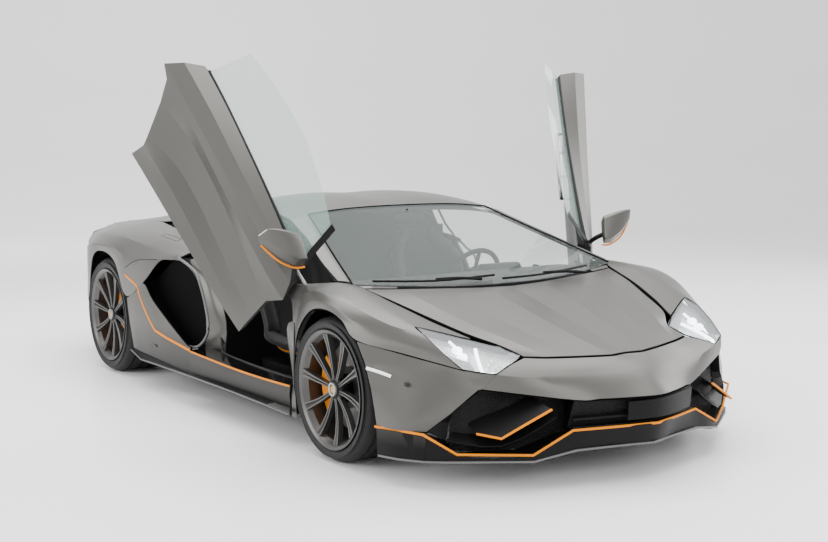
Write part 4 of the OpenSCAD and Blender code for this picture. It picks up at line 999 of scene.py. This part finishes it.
def build_wheels():
    """Four wheels with tyres, spokes, discs and calipers."""
    m = MATS
    for end, side in (("front", "left"), ("front", "right"), ("rear", "left"), ("rear", "right")):
        size = WHEELS[end]
        tag = end + "_" + side
        s, body = (1 if side == "left" else -1), "wheel_" + tag
        r, rim_r, disc = size["radius"], size["rim"], size["disc"]
        c = (s * size["x"], size["y"], r)
        h = size["width"] / 2
        mid = (r + rim_r) / 2
        prof = [(rim_r - 10, -h + 10), (rim_r + 9, -h - 4), (mid, -h - 12), (r - 22, -h + 2),
                (r - 4, -h + 24)]
        for g in np.linspace(-h + 58, h - 58, 4):
            prof += [(r - 0.4, g - 7), (r - 8, g - 5), (r - 8, g + 5), (r - 0.4, g + 7)]
        prof += [(r - 4, h - 24), (r - 12, h - 10), (r - 22, h - 2), (r - 27, h - 1), (r - 28, h + 1),
                 (mid + 6, h + 11),
                 (mid, h + 12), (mid - 2, h + 9), (rim_r + 12, h + 6), (rim_r + 9, h + 4),
                 (rim_r - 10, h - 10)]
        tyre = ring("tyre_mesh_" + tag, prof, c, s, m["rubber"], body, 128, closed=True, angle=40)
        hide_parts("tyre_" + tag)
        barrel = [(rim_r - 34, -h + 6), (rim_r - 12, -h + 6), (rim_r - 12, h - 8), (rim_r - 2, h + 4),
                  (rim_r, h + 8),
                  (rim_r - 4, h + 9), (rim_r - 14, h + 3), (rim_r - 20, h - 2), (rim_r - 24, h - 12),
                  (rim_r - 34, h - 24)]
        hoop = ring("rim_hoop_" + tag, barrel, c, s, m["rim"], body, 128, closed=True)
        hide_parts("rim_" + tag)
        spokes(tag, c, s, h, rim_r, body)
        ring("hub_" + tag, [(0.5, h - 16), (34, h - 16), (38, h - 20), (44, h - 22), (60, h - 28),
                            (66, h - 44), (66, h - 80)],
             c, s, m["black"], body, 48)
        ring("hub_nut_" + tag, [(22, h - 17), (24, h - 10), (32, h - 9), (34, h - 18)], c, s, m["steel"],
             body, 12)
        ring("hub_cap_" + tag, [(0.5, h - 11), (16, h - 12), (20, h - 15)], c, s, m["cap"], body, 32)
        dz = size["disc_x"] - size["x"]
        ring("brake_disc_" + tag, [(60, dz), (disc, dz), (disc, dz + 30), (60, dz + 30)], c, s, m["disc"],
             body, 96, closed=True)
        ring("disc_bell_" + tag, [(40, dz + 31), (92, dz + 31), (96, dz + 44), (70, dz + 52),
                                  (40, dz + 52)], c, s,
             m["dark_grey"], body, 48)
        caliper(tag, c, s, dz, disc, "knuckle_" + side if end == "front" else "car")


def spokes(tag, c, s, h, rim_r, body):
    """Spokes with two ridges and a groove between them, widening towards the flange."""
    verts, faces = [], []
    stations = ((38, 4.5, 5, h - 22), (90, 5.5, 5.5, h - 22), (150, 7.5, 6, h - 18), (205, 10, 6.5, h - 10),
                (rim_r - 20, 14, 8, h + 1))
    for i in range(SPOKES):
        a = 2 * math.pi * i / SPOKES + 0.157
        ca, sa = math.cos(a), math.sin(a)
        base = len(verts)
        for r, off, half, top in stations:
            bend = -5.0 * math.sin(math.pi * (r - 38) / (rim_r - 58))
            ridge = [(off + half, top - SPOKE_DEPTH), (off + 0.7 * half, top), (off - 0.5 * half, top),
                     (1.5, top - 9)]
            for u, v in [(-u, v) for u, v in ridge] + ridge[::-1]:
                t = u + bend
                verts.append((c[0] + s * v, c[1] + r * ca - t * sa, c[2] + r * sa + t * ca))
        n = 2 * len(ridge)
        f = [(base + n * k + q, base + n * k + (q + 1) % n, base + n * (k + 1) + (q + 1) % n,
              base + n * (k + 1) + q)
             for k in range(len(stations) - 1) for q in range(n)]
        f += [tuple(base + q for q in range(n))[::-1],
              tuple(base + n * (len(stations) - 1) + q for q in range(n))]
        faces += f if s > 0 else [q[::-1] for q in f]
    obj = add_mesh("spokes_" + tag, verts, faces, MATS["rim"], body, angle=20)
    modifiers(obj, 0, 0.0012)


def caliper(tag, c, s, dz, disc, body):
    """Caliper over the disc, behind the axle, with the carrier that holds it."""
    loops = []
    for a in np.radians(np.linspace(-40, 40, 17)):
        taper = 1 - 0.25 * (abs(a) / math.radians(40)) ** 3
        sec = [(disc - 78, -13), (disc + 4, -18), (disc + 17 * taper, -8), (disc + 17 * taper, 52),
               (disc + 4, 66), (disc - 74, 62)]
        loops.append([(c[0] + s * (dz + x), c[1] + r * math.cos(a), c[2] + r * math.sin(a)) for r, x in sec])
    order = loops if s < 0 else [loop[::-1] for loop in loops]
    obj = loft("caliper_" + tag, order, MATS["orange"], body, bevel=0.004)
    ring("upright_" + tag, [(0.5, dz - 40), (66, dz - 40), (70, dz - 30), (70, dz - 1), (0.5, dz - 1)], c, s,
         MATS["cast"], body, 40)
    if body != "car":
        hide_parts(body)
        tube("kingpin_" + tag, [(s * 800, c[1], c[2] - 80), (s * 800, c[1], c[2] + 80)], 25, MATS["cast"],
             body, smooth=1, sides=20)
        tube("carrier_" + tag, [(s * 815, c[1], c[2]), (c[0] + s * (dz - 12), c[1] + 70, c[2])], 24,
             MATS["cast"], body, smooth=1, sides=12)


def build_cabin():
    """Seats, dashboard, console, wheel and carpets."""
    m = MATS
    rows = []
    for y, z, w, rise in (
            (-600, 262, 215, 8), (-585, 312, 225, 20), (-420, 300, 235, 48), (-220, 282, 235, 70),
            (-110, 300, 228, 74), (-30, 440, 222, 64), (30, 600, 235, 66), (70, 720, 240, 60),
            (95, 800, 190, 34), (108, 850, 120, 10), (122, 900, 118, 6)):
        back = y > -100
        pts = []
        for f in (-1, -0.82, -0.6, -0.3, 0, 0.3, 0.6, 0.82, 1):
            lift = rise * (1.0 if abs(f) > 0.95 else 0.92 if abs(f) > 0.8 else 0.12 if abs(f) > 0.5 else 0)
            pts.append([SEAT_X + f * w, y - (lift if back else 0), z + (0 if back else lift)])
        rows.append(pts)
    for s, tag in ((1, "left"), (-1, "right")):
        mv = None if s > 0 else flip
        seat = surface("seat_" + tag, rows, m["leather"], both=False, move=mv, k=3, kk=3, soft=1.0,
                       thick=0.0, bevel=0, outward=s)
        modifiers(seat, SEAT_THICK)
        if s > 0:
            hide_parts("seats")
        grid = refine(rows, 3, 3, 1.0)
        for i, col in enumerate((5, 19)):
            tube("seat_piping_%d_%s" % (i, tag), [p + [0, -5, 3] for p in grid[2:-3:2, col]], 5.0,
                 m["orange"], both=False, move=mv, smooth=2, sides=6)
        box_mesh("seat_base_" + tag, (s * SEAT_X - 180, -560, 142), (s * SEAT_X + 180, 20, 240), m["black"],
                 bevel=0.01)
    dash = prism("dash_top", [(-1175, 700), (-1180, 738), (-1060, 756), (-900, 750), (-840, 738),
                              (-812, 700), (-840, 660)],
                 -744, 744, m["leather"], bevel=0.012)
    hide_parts("dashboard")
    prism("dash_lower", [(-1110, 540), (-1110, 700), (-826, 700), (-846, 620), (-900, 540)], -552, 552,
          m["suede"], bevel=0.012)
    prism("dash_hood", [(-905, 741), (-880, 778), (-790, 770), (-782, 752), (-800, 700), (-830, 690)], 262,
          478, m["leather"], bevel=0.01)
    prism("dash_screen", [(-800, 762), (-792, 764), (-806, 700), (-814, 698)], 282, 458, m["gloss_black"],
          bevel=0.001)
    prism("centre_display", [(-826, 690), (-818, 692), (-838, 612), (-846, 610)], -88, 88, m["gloss_black"],
          bevel=0.001)
    for i, x in enumerate((-640, -200, 200, 640)):
        ring("dash_vent_%d" % i, [(0.5, 0), (30, 0), (34, 4), (36, 0), (36, -12)], (x, -822, 716), 1,
             m["black"], "car", 6)
    console = prism("tunnel", [(-950, 142), (-950, 542), (-820, 542), (-760, 524), (-560, 444), (-100, 424),
                               (60, 474), (60, 142)], -118, 118, m["leather"], bevel=0.014)
    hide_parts("centre_console")
    prism("tunnel_panel", [(-770, 532), (-560, 450), (-300, 436), (-300, 426), (-560, 438), (-770, 516)],
          -70, 70, m["gloss_black"], bevel=0.002)
    for s in (-1, 1):
        tube("tunnel_piping_" + ("left" if s > 0 else "right"),
             [(s * 112, -800, 540), (s * 112, -560, 448), (s * 112, -100, 428)], 2.6, m["orange"], sides=6)
    wheel_turn = Matrix.Rotation(math.radians(-66), 3, "X")

    def place(q):
        r = np.array(wheel_turn)
        return np.asarray(q, float) @ r.T + [370, -600, 690]

    hoop = [(160 * math.cos(a), (150 if math.sin(a) < -0.6 else 160) * math.sin(a), 0)
            for a in np.arange(48) * math.pi / 24]
    rim = tube("steering_rim", hoop, 14, m["suede"], "steering_wheel", smooth=1, sides=12, move=place,
               closed=True)
    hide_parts("steering_wheel")
    for i, a in enumerate((0, 180, 270)):
        ca, sa = math.cos(math.radians(a)), math.sin(math.radians(a))
        tube("steering_spoke_%d" % i, [(40 * ca, 40 * sa, -4), (152 * ca, 152 * sa, 0)], 11, m["black"],
             "steering_wheel", smooth=1, move=place)
    tube("steering_hub", [(0, 0, -36), (0, 0, 10)], 46, m["leather"], "steering_wheel", smooth=1, sides=24,
         move=place)
    tube("steering_mark", [(0, 174, 2), (0, 172, 14)], 5, m["orange"], "steering_wheel", smooth=1, move=place)
    tube("steering_column", [(0, 0, -262), (0, 0, -30)], 21, m["black"], "steering_wheel", smooth=1,
         sides=20, move=place)
    box_mesh("cabin_carpet", (-880, -950, 140.5), (880, 300, 144), m["carpet"])
    for s in (-1, 1):
        surface("side_carpet_" + ("left" if s > 0 else "right"),
                [[[s * 884, -930, 145], [s * 884, -300, 145], [s * 884, 140, 145]],
                 [[s * 882, -930, 282], [s * 882, -300, 284], [s * 880, 30, 292]]], m["carpet"], k=2,
                both=False, thick=0.004)
    box_mesh("bulkhead_trim", (-800, 296, 142), (800, 299, 900), m["suede"])
    box_mesh("bulkhead_strap", (-160, 280, 520), (160, 294, 640), m["leather"], bevel=0.008)
    tube("pedals", [(330, -900, 300), (330, -880, 240)], 18, m["steel"], smooth=1)
    tube("brake_pedal", [(430, -900, 320), (430, -885, 270)], 26, m["steel"], smooth=1)
    ball("inner_mirror", (0, -520, 1010), (110, 16, 30), m["black"])
    tube("inner_mirror_stem", [(0, -520, 1010), (0, -500, 1060)], 9, m["black"], smooth=1)


SWEEP = [(-40, 0), (11, 0), (13, 0.25), (15, 0.9), (16.5, 2.2), (17.2, 4), (17.5, 22)]
VIEW_YAW, VIEW_PITCH, VIEW_ROLL = math.radians(33.9), math.radians(-6.37), math.radians(-0.33)
# name, place, size, share of the studio light's power, and the point it aims at, in metres
LIGHTS = (
    ("overhead", (0.3, 0.2, 5.2), (8.5, 5.5), 1.0, (0, 0, 0)),
    ("side_right", (-7.5, 1.0, 3.2), (6, 2.6), 0.42, (0, 0.3, 0.5)),
    ("side_left", (7.0, -1.0, 3.2), (6, 2.6), 0.30, (0, 0, 0.5)),
    ("front", (-1.5, -8.0, 3.4), (6, 2.2), 0.26, (0, -1, 0.4)),
    ("behind", (0, 8.5, 4.5), (9, 3), 0.5, (0, 14, 2)))


def place_in_scene(name, data, location):
    """New object for a floor, lamp or camera."""
    obj = bpy.data.objects.new(name, data)
    obj.location = location
    bpy.context.scene.collection.objects.link(obj)
    return obj


def build_floor(color):
    """Pale floor that sweeps up behind the car, square to the view."""
    mesh = bpy.data.meshes.new("floor")
    n = len(SWEEP)
    turn = Matrix.Rotation(-VIEW_YAW, 3, "Z")
    verts = [tuple(turn @ Vector((x, y, z))) for x in (-60, 60) for y, z in SWEEP]
    mesh.from_pydata(verts, [], [(i, n + i, n + i + 1, i + 1) for i in range(n - 1)])
    mesh.shade_smooth()
    mesh.materials.append(grain(shader("floor", tuple(color), rough=0.3), 60, 0.02))
    return place_in_scene("floor", mesh, (0, 0, 0))


def build_stage(energy, floor_color):
    """Floor and sweep, soft lights, pale world and the camera."""
    stage = [build_floor(floor_color)]
    for name, place, size, share, aim in LIGHTS:
        lamp = bpy.data.lights.new(name, "AREA")
        lamp.shape = "RECTANGLE"
        lamp.size, lamp.size_y = size
        lamp.energy = share * energy
        lamp.color = (1.0, 0.995, 0.985)
        obj = place_in_scene(name, lamp, place)
        obj.rotation_euler = (Vector(aim) - Vector(place)).to_track_quat("-Z", "Y").to_euler()
        stage.append(obj)
    world = bpy.data.worlds.new("studio")
    bpy.context.scene.world = world
    world.use_nodes = True
    background = world.node_tree.nodes["Background"]
    background.inputs["Color"].default_value = (0.92, 0.92, 0.93, 1)
    background.inputs["Strength"].default_value = 1.5
    lens = bpy.data.cameras.new("camera")
    lens.lens = 55.6
    lens.sensor_width = 36.0
    lens.clip_end = 200.0
    camera = place_in_scene("camera", lens, (-3.815, -6.243, 1.494))
    look = Vector((math.sin(VIEW_YAW) * math.cos(VIEW_PITCH), math.cos(VIEW_YAW) * math.cos(VIEW_PITCH),
                   math.sin(VIEW_PITCH)))
    camera.rotation_mode = "QUATERNION"
    camera.rotation_quaternion = (look.to_track_quat("-Z", "Y")
                                  @ Matrix.Rotation(VIEW_ROLL, 3, "Z").to_quaternion())
    bpy.context.scene.camera = camera


# ---------- add-on ----------
class CarSettings(bpy.types.PropertyGroup):
    """What can be changed on the car's looks."""

    paint: bpy.props.FloatVectorProperty(
        name="Paint", description="Colour of the body panels", subtype="COLOR", size=3, min=0, max=1,
        default=(0.082, 0.080, 0.074))
    energy: bpy.props.FloatProperty(
        name="Studio light", description="Power of the largest studio light", default=800.0, min=0,
        unit="NONE")
    floor: bpy.props.FloatVectorProperty(
        name="Floor", description="Colour of the floor", subtype="COLOR", size=3, min=0, max=1,
        default=(0.92, 0.92, 0.92))


class SUPERCAR_OT_frame(bpy.types.Operator):
    """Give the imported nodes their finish."""

    bl_idname = "supercar.frame"
    bl_label = "Frame"
    bl_options = {"REGISTER", "UNDO"}

    def execute(self, context):
        settings = context.scene.supercar
        make_materials(settings.paint)
        paint_frame()
        return {"FINISHED"}


class SUPERCAR_OT_front(bpy.types.Operator):
    """Build the bonnet, wings, nose and splitter."""

    bl_idname = "supercar.front"
    bl_label = "Front"
    bl_options = {"REGISTER", "UNDO"}

    def execute(self, context):
        settings = context.scene.supercar
        make_materials(settings.paint)
        build_front()
        return {"FINISHED"}


class SUPERCAR_OT_lamps(bpy.types.Operator):
    """Build the headlamps and tail lamps."""

    bl_idname = "supercar.lamps"
    bl_label = "Lamps"
    bl_options = {"REGISTER", "UNDO"}

    def execute(self, context):
        settings = context.scene.supercar
        make_materials(settings.paint)
        build_lamps()
        return {"FINISHED"}


class SUPERCAR_OT_shell(bpy.types.Operator):
    """Build the roof, pillars, windscreen and wipers."""

    bl_idname = "supercar.shell"
    bl_label = "Cabin shell"
    bl_options = {"REGISTER", "UNDO"}

    def execute(self, context):
        settings = context.scene.supercar
        make_materials(settings.paint)
        build_cabin_shell()
        return {"FINISHED"}


class SUPERCAR_OT_sides(bpy.types.Operator):
    """Build the quarters, sills, posts and intakes."""

    bl_idname = "supercar.sides"
    bl_label = "Sides"
    bl_options = {"REGISTER", "UNDO"}

    def execute(self, context):
        settings = context.scene.supercar
        make_materials(settings.paint)
        build_sides()
        return {"FINISHED"}


class SUPERCAR_OT_rear(bpy.types.Operator):
    """Build the deck, spoiler, tail, grille and exhaust."""

    bl_idname = "supercar.rear"
    bl_label = "Rear"
    bl_options = {"REGISTER", "UNDO"}

    def execute(self, context):
        settings = context.scene.supercar
        make_materials(settings.paint)
        build_rear()
        return {"FINISHED"}


class SUPERCAR_OT_doors(bpy.types.Operator):
    """Build the scissor doors with glass and mirrors."""

    bl_idname = "supercar.doors"
    bl_label = "Doors"
    bl_options = {"REGISTER", "UNDO"}

    def execute(self, context):
        settings = context.scene.supercar
        make_materials(settings.paint)
        build_doors()
        return {"FINISHED"}


class SUPERCAR_OT_wheels(bpy.types.Operator):
    """Build the tyres, rims, discs and calipers."""

    bl_idname = "supercar.wheels"
    bl_label = "Wheels"
    bl_options = {"REGISTER", "UNDO"}

    def execute(self, context):
        settings = context.scene.supercar
        make_materials(settings.paint)
        build_wheels()
        return {"FINISHED"}


class SUPERCAR_OT_cabin(bpy.types.Operator):
    """Build the seats, dashboard, console and steering wheel."""

    bl_idname = "supercar.cabin"
    bl_label = "Cabin"
    bl_options = {"REGISTER", "UNDO"}

    def execute(self, context):
        settings = context.scene.supercar
        make_materials(settings.paint)
        build_cabin()
        return {"FINISHED"}


class SUPERCAR_OT_stage(bpy.types.Operator):
    """Build the floor, lights and camera."""

    bl_idname = "supercar.stage"
    bl_label = "Stage"
    bl_options = {"REGISTER", "UNDO"}

    def execute(self, context):
        settings = context.scene.supercar
        make_materials(settings.paint)
        build_stage(settings.energy, settings.floor)
        return {"FINISHED"}


class SUPERCAR_PT_panel(bpy.types.Panel):
    """Sidebar panel with the settings and one button to each group."""

    bl_label = "Supercar"
    bl_space_type = "VIEW_3D"
    bl_region_type = "UI"
    bl_category = "Supercar"

    def draw(self, context):
        settings = context.scene.supercar
        for prop in ("paint", "energy", "floor"):
            self.layout.prop(settings, prop)
        for step in STEPS:
            self.layout.operator(step.bl_idname)


STEPS = (
    SUPERCAR_OT_frame, SUPERCAR_OT_front, SUPERCAR_OT_lamps, SUPERCAR_OT_shell, SUPERCAR_OT_sides,
    SUPERCAR_OT_rear, SUPERCAR_OT_doors, SUPERCAR_OT_wheels, SUPERCAR_OT_cabin, SUPERCAR_OT_stage)
CLASSES = (CarSettings, *STEPS, SUPERCAR_PT_panel)


def register():
    """Adds the classes and the settings to Blender."""
    for cls in CLASSES:
        bpy.utils.register_class(cls)
    bpy.types.Scene.supercar = bpy.props.PointerProperty(type=CarSettings)


def unregister():
    """Takes them out again."""
    del bpy.types.Scene.supercar
    for cls in reversed(CLASSES):
        bpy.utils.unregister_class(cls)


def main():
    """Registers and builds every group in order."""
    register()
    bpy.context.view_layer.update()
    for step in STEPS:
        getattr(bpy.ops.supercar, step.bl_idname.partition(".")[2])()


if __name__ == "__main__":
    main()
